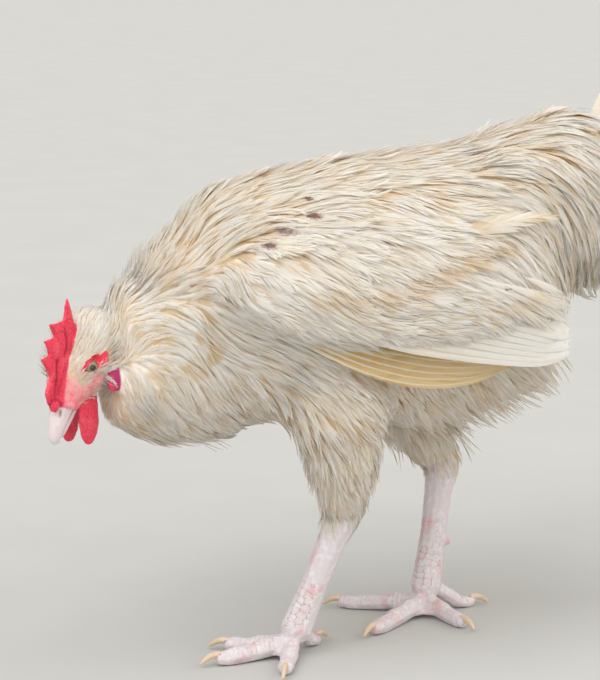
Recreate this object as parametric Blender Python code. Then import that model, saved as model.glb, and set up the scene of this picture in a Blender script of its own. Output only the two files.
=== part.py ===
"""A white chicken, life size, walking slowly with its head low: the solids of its parts.

Metres, +Z up. The bird walks towards -Y and its left side is +X. The body's middle plane is
X = 0 while it is modelled; at the end the whole bird is set over the origin.
"""

import math

import bmesh
import bpy
from mathutils import Matrix, Vector

MM = 0.001

# ---- driving dimensions ------------------------------------------------------------------
GAP = 0.4 * MM  # clearance between neighbouring parts
TRUNK_FRONT = -146 * MM  # foremost point of the breast
TRUNK_BACK = 135 * MM  # the vent
SADDLE_BACK = 212 * MM  # end of the saddle feathers over the tail's root

HEAD_AT = Vector((13, -220.5, 213)) * MM  # between the eyes
HEAD_YAW = math.radians(35)  # turned to the bird's left
HEAD_PITCH = math.radians(56)  # bill pointing down
EYE_RADIUS = 6.2 * MM
EYE_SPACING = 13.8 * MM  # from the head's middle to an eyeball's centre
BILL_LENGTH = 25.5 * MM

WING_SIDE = 84 * MM  # how far out the folded wing lies
TOE_RADIUS = 6.3 * MM
SHANK_RADIUS = 9.0 * MM
TAIL_FEATHERS = 6  # on each side, besides the sickle
WING_FEATHERS = 6  # that show below and behind the folded wing

PLUMAGE = ("plumage", (0.86, 0.80, 0.68), 0.75)
QUILL = ("flight_feather", (0.90, 0.84, 0.72), 0.6)
FACE = ("face_skin", (0.80, 0.22, 0.22), 0.55)
COMB = ("comb", (0.78, 0.05, 0.09), 0.45)
BILL = ("bill", (0.85, 0.70, 0.66), 0.35)
EYE = ("eye", (0.25, 0.15, 0.05), 0.1)
LEG = ("leg_skin", (0.83, 0.65, 0.60), 0.5)
CLAW = ("claw", (0.80, 0.72, 0.50), 0.35)


# ---- helpers -----------------------------------------------------------------------------
def material(finish):
    name, colour, roughness = finish
    made = bpy.data.materials.get(name)
    if made is None:
        made = bpy.data.materials.new(name)
        made.use_nodes = True
        shader = made.node_tree.nodes["Principled BSDF"]
        shader.inputs["Base Color"].default_value = (*colour, 1)
        shader.inputs["Roughness"].default_value = roughness
    return made


def new_object(name, mesh, finish):
    made = bpy.data.objects.new(name, mesh)
    bpy.context.scene.collection.objects.link(made)
    mesh.materials.append(material(finish))
    mesh.shade_smooth()
    return made


def smooth_value(rows, t):
    """Row values at t, from 0 to the last row's index, on a smooth curve through the rows."""
    i = min(int(t), len(rows) - 2)
    u = t - i
    before, after = rows[max(i - 1, 0)], rows[min(i + 2, len(rows) - 1)]
    start, end = rows[i], rows[i + 1]
    found = []
    for a, b, c, d in zip(before, start, end, after):
        m0, m1 = (c - a) / 2, (d - b) / 2
        h = u * u * u
        found.append(
            (2 * h - 3 * u * u + 1) * b
            + (h - 2 * u * u + u) * m0
            + (3 * u * u - 2 * h) * c
            + (h - u * u) * m1
        )
    return found


def loft(name, sections, rings, sides, finish, domes=(0.15, 0.15), roll=0.0, up=(0, 0, 1), floor=None):
    """A closed body through sections of (x, y, z, half width, height above, depth below), in mm.

    domes are the shares of the length over which each end rounds off. roll turns every
    section about the path. floor flattens whatever would reach below that height.
    """
    last = len(sections) - 1
    spread = [last * (1 - math.cos(math.pi * i / (rings - 1))) / 2 for i in range(rings)]
    spread[0], spread[-1] = spread[1] * 0.25, last - spread[1] * 0.25
    bm = bmesh.new()
    loops = []
    for t in spread:
        x, y, z, wide, above, below = smooth_value(sections, t)
        step = 0.02 * last
        ahead = Vector(smooth_value(sections, min(t + step, last))[:3])
        behind = Vector(smooth_value(sections, max(t - step, 0))[:3])
        along = (ahead - behind).normalized()
        side = Vector(up).cross(along).normalized()
        top = along.cross(side)
        turn = Matrix.Rotation(roll, 3, along)
        side, top = turn @ side, turn @ top
        s = t / last
        shrink = 1.0
        if s < domes[0]:
            shrink = math.sqrt(1 - (1 - s / domes[0]) ** 2)
        elif s > 1 - domes[1]:
            shrink = math.sqrt(1 - (1 - (1 - s) / domes[1]) ** 2)
        ring = []
        for k in range(sides):
            a = 2 * math.pi * k / sides
            height = (above if math.sin(a) > 0 else below) * math.sin(a)
            at = (Vector((x, y, z)) + (side * wide * math.cos(a) + top * height) * shrink) * MM
            if floor is not None:
                at.z = max(at.z, floor)
            ring.append(bm.verts.new(at))
        loops.append(ring)
    for first, second in zip(loops, loops[1:]):
        for k in range(sides):
            n = (k + 1) % sides
            bm.faces.new((first[k], second[k], second[n], first[n]))
    bm.faces.new(loops[0])
    bm.faces.new(list(reversed(loops[-1])))
    return finished(name, bm, finish)


def finished(name, bm, finish):
    bmesh.ops.triangulate(bm, faces=[f for f in bm.faces if len(f.verts) > 4])
    bmesh.ops.recalc_face_normals(bm, faces=bm.faces)
    mesh = bpy.data.meshes.new(name)
    bm.to_mesh(mesh)
    bm.free()
    return new_object(name, mesh, finish)


def ball(name, centre, radii, finish, segments=16, rings=10, turn=None):
    """An ellipsoid with its own axes turned by a 3 x 3 matrix."""
    bm = bmesh.new()
    bmesh.ops.create_uvsphere(bm, u_segments=segments, v_segments=rings, radius=1)
    shape = Matrix.Diagonal(Vector(radii))
    shape = (turn @ shape if turn else shape).to_4x4()
    bm.transform(Matrix.Translation(centre) @ shape)
    return finished(name, bm, finish)


def clear_of(piece, *others):
    """Cuts piece back from other parts, so that it stops GAP short of them."""
    for other in others:
        cutter = bpy.data.objects.new(f"space_of_{other.name}_in_{piece.name}", other.data)
        bpy.context.scene.collection.objects.link(cutter)
        cutter.hide_render = True
        cutter.display_type = "WIRE"
        grow = cutter.modifiers.new("grow", "DISPLACE")
        grow.strength = GAP
        grow.mid_level = 0
        cut = piece.modifiers.new(f"clear_{other.name}", "BOOLEAN")
        cut.operation = "DIFFERENCE"
        cut.solver = "EXACT"
        cut.object = cutter


def fan(name, root, tip, normal, count, thickness, finish, rows=4, sag=(0, 0, 0), step=1.4, notch=0.07):
    """Long feathers lying edge over edge, as one closed blade.

    root(a), tip(a) and normal(a) give each feather's ends and its outer side, for a from 0,
    the outermost feather, to 1. sag moves the middle of every feather, in mm. Each feather
    stands a step, in mm, over the next and ends in a round tip.
    """
    columns = count * 3
    bm = bmesh.new()
    layers = []
    for face in (1, -1):
        grid = []
        for j in range(columns + 1):
            a = j / columns
            within = a * count - min(int(a * count), count - 1)
            start, end, out = root(a), tip(a), normal(a).normalized()
            reach = 1 - notch * (2 * within - 1) ** 2
            lift = step * (0.5 - within)
            line = []
            for i in range(rows + 1):
                s = i / rows * reach
                at = start.lerp(end, s) + Vector(sag) * MM * (4 * s * (1 - s))
                half = thickness * MM * (1 - 0.55 * s) / 2
                fade = min(1, 3 * s)
                line.append(bm.verts.new(at + out * (face * half + lift * MM * fade)))
            grid.append(line)
        layers.append(grid)
    close_blade(bm, *layers)
    return finished(name, bm, finish)


# ---- trunk, saddle and neck --------------------------------------------------------------
def make_trunk():
    """The feathered body from the breast to the vent."""
    sections = [
        (0, TRUNK_FRONT / MM, 240, 46, 46, 52),
        (0, -118, 244, 67, 78, 86),
        (0, -84, 246, 75, 88, 84),
        (0, -40, 246, 78, 96, 90),
        (0, 20, 248, 78, 97, 96),
        (0, 72, 254, 75, 96, 93),
        (0, 108, 262, 62, 86, 86),
        (0, TRUNK_BACK / MM, 268, 34, 54, 52),
    ]
    return loft("trunk", sections, 16, 22, PLUMAGE, domes=(0.10, 0.09))


def make_saddle():
    """The mass of saddle feathers that droops over the root of the tail."""
    sections = [
        (0, 58, 318, 36, 30, 40),
        (0, 94, 312, 56, 47, 60),
        (0, 128, 305, 54, 63, 63),
        (0, 160, 304, 45, 67, 67),
        (0, 188, 308, 35, 60, 62),
        (0, SADDLE_BACK / MM, 315, 22, 38, 42),
    ]
    return loft("saddle", sections, 11, 18, PLUMAGE, domes=(0.12, 0.14))


def make_neck():
    """The thick feathered neck, which narrows to the ruff behind the face."""
    sections = [
        (0, -104, 236, 57, 78, 66),
        (0, -133, 224, 60, 73, 76),
        (0, -160, 215, 51, 57, 67),
        (0, -182, 211, 36, 54, 57),
        (0, -198, 211, 21, 52, 41),
    ]
    return loft("neck", sections, 10, 18, PLUMAGE, domes=(0.1, 0.2))


# ---- head --------------------------------------------------------------------------------
def head_axes():
    """Forward, left and up of the head, from its turn and tilt."""
    heading = Vector((math.sin(HEAD_YAW), -math.cos(HEAD_YAW), 0))
    rise = Vector((0, 0, 1))
    forward = heading * math.cos(HEAD_PITCH) - rise * math.sin(HEAD_PITCH)
    left = rise.cross(heading)
    return forward, left, forward.cross(left)


def on_head(ahead, left, above):
    """A place on the head, in mm ahead of, left of and above the point between the eyes."""
    f, s, u = head_axes()
    return HEAD_AT + (f * ahead + s * left + u * above) * MM


def head_loft(name, rows, rings, sides, finish, domes):
    """A loft whose sections (ahead, left, above, wide, over, under) are in the head's axes."""
    placed = [(*(on_head(a, s, u) / MM), w, o, d) for a, s, u, w, o, d in rows]
    return loft(name, placed, rings, sides, finish, domes, up=head_axes()[2])


def make_head():
    rows = [
        (-44, 0, -5, 17, 20, 18),
        (-32, 0, -6, 20, 23, 23),
        (-18, 0, -6, 21.5, 23.5, 24.5),
        (-7, 0, -5.5, 21, 23, 24),
        (4, 0, -3.5, 18, 20.5, 20.5),
        (14, 0, -2.5, 14.5, 16, 16),
        (24, 0, -2, 11, 10.5, 12),
        (30, 0, -3, 8.5, 7.5, 9.5),
    ]
    return head_loft("head", rows, 12, 18, FACE, (0.2, 0.08))


def make_bill():
    length = BILL_LENGTH / MM
    upper = [
        (20, 0, -4, 8.6, 8.5, 2.6),
        (27, 0, -4, 8.2, 9.2, 2.6),
        (27 + 0.40 * length, 0, -4.6, 6.6, 7.6, 2.4),
        (27 + 0.75 * length, 0, -6.4, 4.6, 5.4, 2.4),
        (27 + 0.98 * length, 0, -9.0, 2.6, 2.8, 2.0),
    ]
    lower = [
        (18, 0, -9.5, 7.6, 2.2, 4.2),
        (27, 0, -9.2, 6.8, 2.2, 4.4),
        (27 + 0.40 * length, 0, -9.4, 5.2, 1.8, 3.8),
        (27 + 0.78 * length, 0, -10.2, 3.2, 1.0, 2.6),
    ]
    bill_upper = head_loft("bill_upper", upper, 8, 10, BILL, (0.05, 0.08))
    bill_lower = head_loft("bill_lower", lower, 7, 10, BILL, (0.05, 0.12))
    return bill_upper, bill_lower


def make_eye(side):
    f, s, u = head_axes()
    centre = on_head(0, side * EYE_SPACING / MM, 0.5)
    turn = Matrix((f, s, u)).transposed()
    radii = (EYE_RADIUS, EYE_RADIUS * 0.94, EYE_RADIUS * 0.94)
    return ball(f"eye_{side_name(side)}", centre, radii, EYE, 10, 7, turn)


def side_name(side):
    return "left" if side > 0 else "right"


def make_comb():
    """A single comb of five points, the rear one a blade, thickest where it leaves the skull."""
    tips = [(-33.5, 36), (-9.5, 44.5), (2, 44), (13, 39.5), (29, 21)]
    valleys = [(-19, 30), (-6.5, 32), (6, 31), (17, 23)]
    rear, front = (-18, 12), (36.5, 8)
    outline = [rear]
    for tip, valley in zip(tips, valleys + [None]):
        outline += [tip, valley] if valley else [tip]
    outline.append(front)
    each = 2
    columns = (len(outline) - 1) * each
    thick = (3.6, 2.3, 0.8)
    rows = len(thick) - 1
    bm = bmesh.new()
    faces = []
    for face in (1, -1):
        grid = []
        for i in range(columns + 1):
            ahead, above = smooth_value(outline, min(i / each, len(outline) - 1.001))
            foot = (-16 + 51 * i / columns, 9.5 - 5 * i / columns)
            line = []
            for j in range(rows + 1):
                share = j / rows
                x = foot[0] + (ahead - foot[0]) * share
                z = foot[1] + (above - foot[1]) * share
                half = thick[j] * min(1, 0.3 + min(i, columns - i) / 4)
                line.append(bm.verts.new(on_head(x, 2 + 0.1 * max(z - 15, 0) + face * half, z)))
            grid.append(line)
        faces.append(grid)
    close_blade(bm, *faces)
    return finished("comb", bm, COMB)


def close_blade(bm, outer, inner):
    """Joins two equal grids of points, back to back, into one closed sheet."""
    columns, rows = len(outer) - 1, len(outer[0]) - 1
    for j in range(columns):
        for i in range(rows):
            for grid in (outer, inner):
                bm.faces.new((grid[j][i], grid[j + 1][i], grid[j + 1][i + 1]))
                bm.faces.new((grid[j][i], grid[j + 1][i + 1], grid[j][i + 1]))
        for i in (0, rows):
            bm.faces.new((outer[j][i], outer[j + 1][i], inner[j + 1][i], inner[j][i]))
    for j in (0, columns):
        for i in range(rows):
            bm.faces.new((outer[j][i], outer[j][i + 1], inner[j][i + 1], inner[j][i]))


def make_wattle(side):
    """A flat lobe that hangs straight down from the jaw."""
    root = on_head(15, side * 8, -13) / MM
    heading = head_axes()[0]
    flat = Vector((heading.x, heading.y, 0)).normalized()
    rows = []
    for fall, ahead, wide, thick in [(-5, -1, 8, 2.2), (8, -3, 10, 2.3), (21, -3, 10.5, 2.2), (33, -3, 7, 1.8)]:
        at = root + Vector((0, 0, -fall)) + flat * ahead
        rows.append((*at, thick, wide, wide))
    return loft(f"wattle_{side_name(side)}", rows, 8, 10, COMB, (0.1, 0.3), up=flat)


def make_earlobe(side):
    f, s, u = head_axes()
    turn = Matrix((f, s, u)).transposed()
    centre = on_head(-5, side * 21.5, -19.5)
    tilt = turn @ Matrix.Rotation(side * math.radians(14), 3, "X")
    return ball(f"earlobe_{side_name(side)}", centre, Vector((12, 3.4, 7)) * MM, COMB, 10, 6, tilt)


# ---- wings and tail ----------------------------------------------------------------------
def make_wing(side):
    """The folded wing from its shoulder to the last coverts."""
    out = WING_SIDE / MM
    rows = [
        (side * (out - 24), -142, 268, 9, 18, 16),
        (side * (out - 10), -108, 268, 15, 38, 32),
        (side * (out - 2), -55, 262, 15, 44, 37),
        (side * out, 0, 256, 12, 44, 36),
        (side * (out - 3), 48, 250, 9, 40, 32),
        (side * (out - 13), 97, 249, 5, 26, 24),
    ]
    roll = -side * math.radians(14)
    return loft(f"wing_{side_name(side)}", rows, 13, 14, PLUMAGE, (0.10, 0.14), roll)


def make_flight(side):
    """The long wing feathers, folded to a blade whose tips show behind the coverts."""
    out = WING_SIDE / MM

    def root(a):
        return Vector((side * (out + 4 - 6 * a), -84 + 78 * a, 232 + 50 * a)) * MM

    def tip(a):
        return Vector((side * (out - 13 - 2 * a), 124 - 8 * a, 206 + 22 * a)) * MM

    def normal(a):
        return Vector((side, 0, 0.25))

    name = f"flight_feathers_{side_name(side)}"
    return fan(name, root, tip, normal, WING_FEATHERS, 5.0, QUILL, sag=(side * 5, 0, -14), step=1, notch=0.04)


def make_tail_half(side):
    """Half of the tented tail, its outermost feather lowest."""

    def root(a):
        return Vector((side * (17 - 14 * a), 168 - 6 * a, 300 + 38 * a)) * MM

    def tip(a):
        lift = math.radians(14 + 40 * a)
        reach = (132 + 16 * a) * MM
        splay = math.radians(15.5 - 15 * a)
        flat = math.cos(lift) * reach
        away = (side * math.sin(splay) * flat, math.cos(splay) * flat, math.sin(lift) * reach)
        return root(a) + Vector(away)

    def normal(a):
        return Vector((side, -0.25, 0.35 + 0.2 * a))

    name = f"tail_feathers_{side_name(side)}"
    return fan(name, root, tip, normal, TAIL_FEATHERS, 3.2, QUILL, sag=(0, 0, 5))


def make_sickle(side):
    """The long curved feather that falls back over each side of a young cock's tail."""
    rows = []
    for x, y, z, wide in [(16, 186, 352, 6), (19, 218, 396, 9), (22, 256, 426, 10), (27, 294, 424, 9), (31, 322, 392, 5)]:
        rows.append((side * x, y, z, 1.6, wide, wide))
    return loft(f"sickle_{side_name(side)}", rows, 8, 6, QUILL, (0.08, 0.16))


# ---- legs --------------------------------------------------------------------------------
class Leg:
    """One leg's joints, in mm, and its toes as (length, heading) with heading 0 straight ahead."""

    def __init__(self, side, hip, knee, hock, foot, toes):
        self.side, self.hip, self.knee, self.hock, self.foot = side, hip, knee, hock, foot
        self.toes = toes
        self.name = side_name(side)


LEGS = [
    Leg(
        side=1,
        hip=(50, -50, 206),
        knee=(52, -45, 160),
        hock=(37, -36, 101),
        foot=(28, -70, 11),
        toes={"inner": (60, -34), "middle": (70, 2), "outer": (60, 60), "hind": (44, -148)},
    ),
    Leg(
        side=-1,
        hip=(-48, 24, 206),
        knee=(-46, 46, 162),
        hock=(-34, 77, 111),
        foot=(-24, 59, 11),
        toes={"inner": (62, 98), "middle": (84, 32), "outer": (76, -33), "hind": (52, 178)},
    ),
]
TOE_SHARES = {"inner": 0.92, "middle": 1.0, "outer": 0.9, "hind": 0.8}  # of TOE_RADIUS


def make_thigh(leg):
    """The feathered thigh, down to the cuff of feathers round the hock."""
    knee, hock = Vector(leg.knee), Vector(leg.hock)
    lower = knee.lerp(hock, 0.55)
    rows = [
        (*leg.hip, 26, 42, 38),
        (*knee, 29, 35, 34),
        (*lower, 20, 21, 22),
        (*hock, 13.5, 15, 15),
    ]
    return loft(f"thigh_{leg.name}", rows, 9, 14, PLUMAGE, (0.1, 0.07), up=(0, -1, 0))


def make_shank(leg):
    hock, foot = Vector(leg.hock), Vector(leg.foot)
    r = SHANK_RADIUS / MM
    above = hock + (hock - foot).normalized() * 8
    rows = [
        (*above, r * 1.15, r * 1.2, r * 1.35),
        (*hock, r * 1.3, r * 1.35, r * 1.5),
        (*hock.lerp(foot, 0.22), r * 1.02, r * 1.1, r * 1.15),
        (*hock.lerp(foot, 0.55), r * 0.95, r, r * 1.05),
        (*hock.lerp(foot, 0.82), r * 1.1, r * 1.2, r * 1.15),
        (*foot, r * 1.45, r * 1.4, r * 1.2),
    ]
    return loft(f"shank_{leg.name}", rows, 10, 10, LEG, (0.12, 0.10), up=(0, -1, 0), floor=0.0)


def toe_path(leg, toe):
    """Points along a toe, from inside the foot to its end, as (place in mm, radius), and its heading."""
    length, heading = leg.toes[toe]
    a = math.radians(heading)
    ahead = Vector((math.sin(a), -math.cos(a), 0))
    base = Vector(leg.foot)
    r = TOE_RADIUS / MM * TOE_SHARES[toe]
    reach = length - 12
    start, middle = (base.z + 13, r + 7) if toe == "hind" else (base.z - 1, r + 0.8)
    path = []
    for share, height, wide in [(0.05, start, 1.05), (0.4, middle, 1.02), (0.72, 0.84 * r, 0.94), (1, 0.8 * r, 0.9)]:
        at = Vector((base.x, base.y, 0)) + ahead * reach * share
        path.append((Vector((at.x, at.y, height)), r * wide))
    return path, ahead


def make_toe(leg, toe):
    path, _ = toe_path(leg, toe)
    rows = [(*at, radius, radius, radius) for at, radius in path]
    return loft(f"toe_{toe}_{leg.name}", rows, 8, 8, LEG, (0.12, 0.16), floor=0.0)


def make_claw(leg, toe):
    """A curved claw whose tip rests on the ground."""
    path, ahead = toe_path(leg, toe)
    end, radius = path[-1]
    root = Vector((end.x, end.y, radius + 2.2)) - ahead * 4
    rows = []
    for reach, rise, radius in [(0, 0, 2.6), (6, 0.8, 2.7), (11.5, -1.2, 2.1), (15.5, -5.2, 0.9)]:
        at = root + ahead * reach + Vector((0, 0, rise))
        rows.append((*at, radius * 0.86, radius, radius))
    return loft(f"claw_{toe}_{leg.name}", rows, 5, 6, CLAW, (0.1, 0.1), floor=0.0)


# ---- the whole bird ----------------------------------------------------------------------
def make_head_parts(neck):
    head = make_head()
    bill_upper, bill_lower = make_bill()
    eyes = [make_eye(side) for side in (1, -1)]
    comb = make_comb()
    wattles = [make_wattle(side) for side in (1, -1)]
    earlobes = [make_earlobe(side) for side in (1, -1)]
    clear_of(head, *eyes)
    clear_of(neck, head)
    clear_of(bill_upper, head)
    clear_of(bill_lower, head, bill_upper)
    clear_of(comb, head, bill_upper, neck)
    for wattle in wattles:
        clear_of(wattle, head, bill_lower, bill_upper, neck)
    for earlobe in earlobes:
        clear_of(earlobe, head, neck)


def make_legs(trunk, wings):
    for leg in LEGS:
        thigh, shank = make_thigh(leg), make_shank(leg)
        near = wings[:2] if leg.side > 0 else wings[2:]
        clear_of(thigh, trunk, *near)
        clear_of(shank, thigh)
        placed = []
        for toe in leg.toes:
            piece, claw = make_toe(leg, toe), make_claw(leg, toe)
            clear_of(piece, shank, *placed)
            clear_of(claw, piece)
            placed.append(piece)


def stand_over_origin():
    """Moves the bird, cutters and all, so that the middle of its box's base is the origin."""
    bpy.context.view_layer.update()
    graph = bpy.context.evaluated_depsgraph_get()
    low, high = Vector((1, 1, 1)), Vector((-1, -1, -1))
    for piece in bpy.context.scene.objects:
        if not piece.hide_render:
            for corner in piece.evaluated_get(graph).bound_box:
                low = Vector(map(min, low, corner))
                high = Vector(map(max, high, corner))
    stance = bpy.data.objects.new("stance", None)
    for piece in list(bpy.context.scene.objects):
        piece.parent = stance
    bpy.context.scene.collection.objects.link(stance)
    stance.location = (-(low.x + high.x) / 2, -(low.y + high.y) / 2, -low.z)


def main():
    for old in list(bpy.data.objects):
        bpy.data.objects.remove(old)
    trunk, saddle, neck = make_trunk(), make_saddle(), make_neck()
    clear_of(saddle, trunk)
    clear_of(neck, trunk)
    wings = []
    for side in (1, -1):
        wing, flight = make_wing(side), make_flight(side)
        clear_of(wing, trunk, saddle, neck)
        clear_of(flight, trunk, wing)
        wings += [wing, flight]
        tail, sickle = make_tail_half(side), make_sickle(side)
        clear_of(tail, saddle, trunk)
        clear_of(sickle, saddle, tail)
    make_head_parts(neck)
    make_legs(trunk, wings)
    stand_over_origin()


main()
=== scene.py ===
# %% [markdown]
# This lesson dresses a solid model of a young white cockerel until it reads as a living bird. The solids give
# every size and place. What follows grows one skin over them, combs thousands of small feathers along that
# skin, sets in the large wing and tail feathers, and gives the comb, face, bill, legs and claws their finish.
# Lengths in the tables are millimetres, because a bird is measured that way; MM turns them into metres.

# %% Load the solid model
import math

import bmesh
import bpy
import numpy as np
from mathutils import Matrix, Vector, kdtree
from mathutils.bvhtree import BVHTree


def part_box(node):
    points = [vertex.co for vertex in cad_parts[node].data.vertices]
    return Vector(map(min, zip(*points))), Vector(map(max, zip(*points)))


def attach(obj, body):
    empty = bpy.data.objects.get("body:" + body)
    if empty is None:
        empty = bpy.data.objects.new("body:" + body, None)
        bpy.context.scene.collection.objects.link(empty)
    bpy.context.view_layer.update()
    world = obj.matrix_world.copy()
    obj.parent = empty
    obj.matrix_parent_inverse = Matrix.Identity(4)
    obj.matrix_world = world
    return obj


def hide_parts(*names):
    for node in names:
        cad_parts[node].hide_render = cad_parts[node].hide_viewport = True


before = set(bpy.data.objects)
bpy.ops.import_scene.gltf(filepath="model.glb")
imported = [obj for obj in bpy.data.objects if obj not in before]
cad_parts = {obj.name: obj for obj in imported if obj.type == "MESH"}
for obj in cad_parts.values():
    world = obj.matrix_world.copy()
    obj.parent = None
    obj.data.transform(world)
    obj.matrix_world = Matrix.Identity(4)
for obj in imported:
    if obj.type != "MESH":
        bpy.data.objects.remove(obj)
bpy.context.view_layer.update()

MM = 0.001
SIDES = {"left": 1, "right": -1}

# %% [markdown]
# The camera comes first, so that every later choice can be judged from it. It stands to the left and in front
# of the bird, a little above its back, and a long lens keeps the near wing from swelling.

# %% Camera
LOOK_AT = Vector((0, -87.7, 215.5)) * MM
CAMERA_TURN = math.radians(66)
CAMERA_RISE = math.radians(10.5)
CAMERA_AWAY = 1.6
CAMERA_LENS, FILM_WIDE = 122.8, 36


def toward(turn, rise):
    """The unit vector from the bird to a place at this turn round it and this rise above the horizon."""
    level = math.cos(rise)
    return Vector((math.sin(turn) * level, -math.cos(turn) * level, math.sin(rise)))


camera = bpy.data.objects.new("camera", bpy.data.cameras.new("camera"))
camera.data.lens = CAMERA_LENS
camera.data.sensor_width = FILM_WIDE
sight = toward(CAMERA_TURN, CAMERA_RISE)
camera.location = LOOK_AT + sight * CAMERA_AWAY
camera.rotation_euler = sight.to_track_quat("Z", "Y").to_euler()
bpy.context.scene.collection.objects.link(camera)
bpy.context.scene.camera = camera
print("camera at", [round(v, 3) for v in camera.location])

# %% [markdown]
# White plumage shows its form only through shade, so the light must have a side. One broad soft lamp stands
# for the sky, high and towards the head. A weaker one fills from behind the camera, a third comes from behind
# the tail and brings out the far edges, and the world adds an even, slightly warm light. The floor is a plain
# pale sheet, with a faint mottle so that it doesn't band.

# %% Floor and lights
# name, turn, rise, spread, strength, colour
LAMPS = (
    ("sky", 20, 56, 60, 2.0, (0.97, 0.985, 1.0)),
    ("fill", 85, 22, 80, 1.2, (1.0, 0.975, 0.93)),
    ("rim", 165, 40, 60, 0.9, (1.0, 0.99, 0.97)),
)
WORLD = {"Color": (0.96, 0.915, 0.845, 1), "Strength": 0.52}
FLOOR_REACH = 40.0
FLOOR_SHADES = ((0.50, 0.50, 0.49, 1), (0.55, 0.55, 0.54, 1))


def linked(name, data):
    """An object of this data, in the scene."""
    made = bpy.data.objects.new(name, data)
    bpy.context.scene.collection.objects.link(made)
    return made


def soft_sun(name, turn, rise, spread, strength, colour):
    """An even light from one side. Spread is the angle of the bright patch of sky that it stands for."""
    lamp = bpy.data.lights.new(name, "SUN")
    lamp.angle = math.radians(spread)
    lamp.energy = strength
    lamp.color = colour
    made = linked(name, lamp)
    place = toward(math.radians(turn), math.radians(rise))
    made.location = LOOK_AT + place
    made.rotation_euler = place.to_track_quat("Z", "Y").to_euler()


def set_inputs(node, values):
    for key, value in values.items():
        node.inputs[key].default_value = value


def new_material(name, values):
    """A material, its node tree, and the surface node in it with these values."""
    material = bpy.data.materials.new(name)
    material.use_nodes = True
    surface = material.node_tree.nodes["Principled BSDF"]
    set_inputs(surface, values)
    return material, material.node_tree, surface


def pale_floor():
    mesh = bpy.data.meshes.new("floor")
    corners = [(x * FLOOR_REACH, y * FLOOR_REACH, 0) for x, y in ((-1, -1), (1, -1), (1, 1), (-1, 1))]
    mesh.from_pydata(corners, [], [(0, 1, 2, 3)])
    made = linked("floor", mesh)
    material, tree, surface = new_material("floor", {"Roughness": 0.75})
    mottle = tree.nodes.new("ShaderNodeTexNoise")
    mottle.inputs["Scale"].default_value = 9
    shades = tree.nodes.new("ShaderNodeValToRGB")
    for stop, colour in zip(shades.color_ramp.elements, FLOOR_SHADES):
        stop.color = colour
    place = tree.nodes.new("ShaderNodeTexCoord")
    tree.links.new(place.outputs["Object"], mottle.inputs["Vector"])
    tree.links.new(mottle.outputs["Fac"], shades.inputs["Fac"])
    tree.links.new(shades.outputs["Color"], surface.inputs["Base Color"])
    mesh.materials.append(material)


world = bpy.data.worlds.new("world")
bpy.context.scene.world = world
world.use_nodes = True
set_inputs(world.node_tree.nodes["Background"], WORLD)
for lamp in LAMPS:
    soft_sun(*lamp)
bpy.context.scene.view_settings.view_transform = "Standard"
pale_floor()

# %% [markdown]
# The head is turned and tipped down, so its details are easier to place in directions of its own: ahead along
# the bill, left across the eyes, and above through the crown. The two eyes in the solids give the origin and
# the left direction, and the head's pitch gives the rest.

# %% Directions of the head
HEAD_YAW = math.radians(35)
HEAD_PITCH = math.radians(56)


def ease(value, low, high):
    """0 below low, 1 above high, and a smooth rise between them."""
    share = np.clip((value - low) / (high - low), 0, 1)
    return share * share * (3 - 2 * share)


def hump(value, at, wide):
    """1 where the value is at this place, and soon 0 on both sides of it."""
    return np.exp(-(((value - at) / wide) ** 2))


def unit(vectors):
    return vectors / (np.linalg.norm(vectors, axis=-1)[..., None] + 1e-12)


def centre_of(node):
    low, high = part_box(node)
    return (np.array(low) + np.array(high)) / 2


EYES = {side: centre_of("eye_" + side) for side in SIDES}
HEAD_AT = (EYES["left"] + EYES["right"]) / 2
HEAD_AHEAD = np.array(
    (
        math.sin(HEAD_YAW) * math.cos(HEAD_PITCH),
        -math.cos(HEAD_YAW) * math.cos(HEAD_PITCH),
        -math.sin(HEAD_PITCH),
    )
)
HEAD_LEFT = (EYES["left"] - EYES["right"]) / np.linalg.norm(EYES["left"] - EYES["right"])
HEAD_ABOVE = np.cross(HEAD_AHEAD, HEAD_LEFT)
HEAD_AXES = np.array((HEAD_AHEAD, HEAD_LEFT, HEAD_ABOVE))


def in_head(points):
    """Millimetres ahead, left and above of the middle of the head, one row for each point."""
    return (np.asarray(points) - HEAD_AT) @ HEAD_AXES.T / MM


def from_head(places):
    """Where places given in the head's directions lie, in metres."""
    return HEAD_AT + np.asarray(places, float) @ HEAD_AXES * MM


print("head at", HEAD_AT.round(4), "bill tip", in_head(centre_of("bill_upper")).round(1))

# %% [markdown]
# A real bird has one skin from comb to toes. Here the solids of flesh are grown by a hair until they touch,
# joined, and covered by a voxel remesh, which throws away all that is inside and leaves one closed surface.
# Booleans would keep every crease between the solids, and a remesh can be smoothed. It is fine enough for the
# wrinkles of the face and the scales of the toes.

# %% Grow one skin over the flesh
TOES = ("inner", "middle", "outer", "hind")
PAIRED_FLESH = ["wing", "thigh", "shank", "wattle", "earlobe"] + ["toe_" + toe for toe in TOES]
FLESH = ["trunk", "saddle", "neck", "head", "comb"]
FLESH += [part + "_" + side for part in PAIRED_FLESH for side in SIDES]
TOUCH = 0.35 * MM
CREASE_FILL = 9
SKIN_VOXEL = 0.9 * MM


def triples(items, key):
    """One row of three numbers for each of these items of a mesh."""
    found = np.empty(len(items) * 3, np.float32)
    items.foreach_get(key, found)
    return found.reshape(-1, 3).astype(float)


def points_of(mesh):
    return triples(mesh.vertices, "co")


def normals_of(mesh):
    return triples(mesh.vertex_normals, "vector")


def folded(points):
    """The same points with the right side of the bird laid on the left, in millimetres."""
    return np.stack((np.abs(points[:, 0]), points[:, 1], points[:, 2]), 1) / MM


def as_mesh(work, name):
    mesh = bpy.data.meshes.new(name)
    work.to_mesh(mesh)
    work.free()
    return mesh


def move_points(mesh, points):
    mesh.vertices.foreach_set("co", np.ascontiguousarray(points, np.float32).ravel())
    mesh.update()


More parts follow.
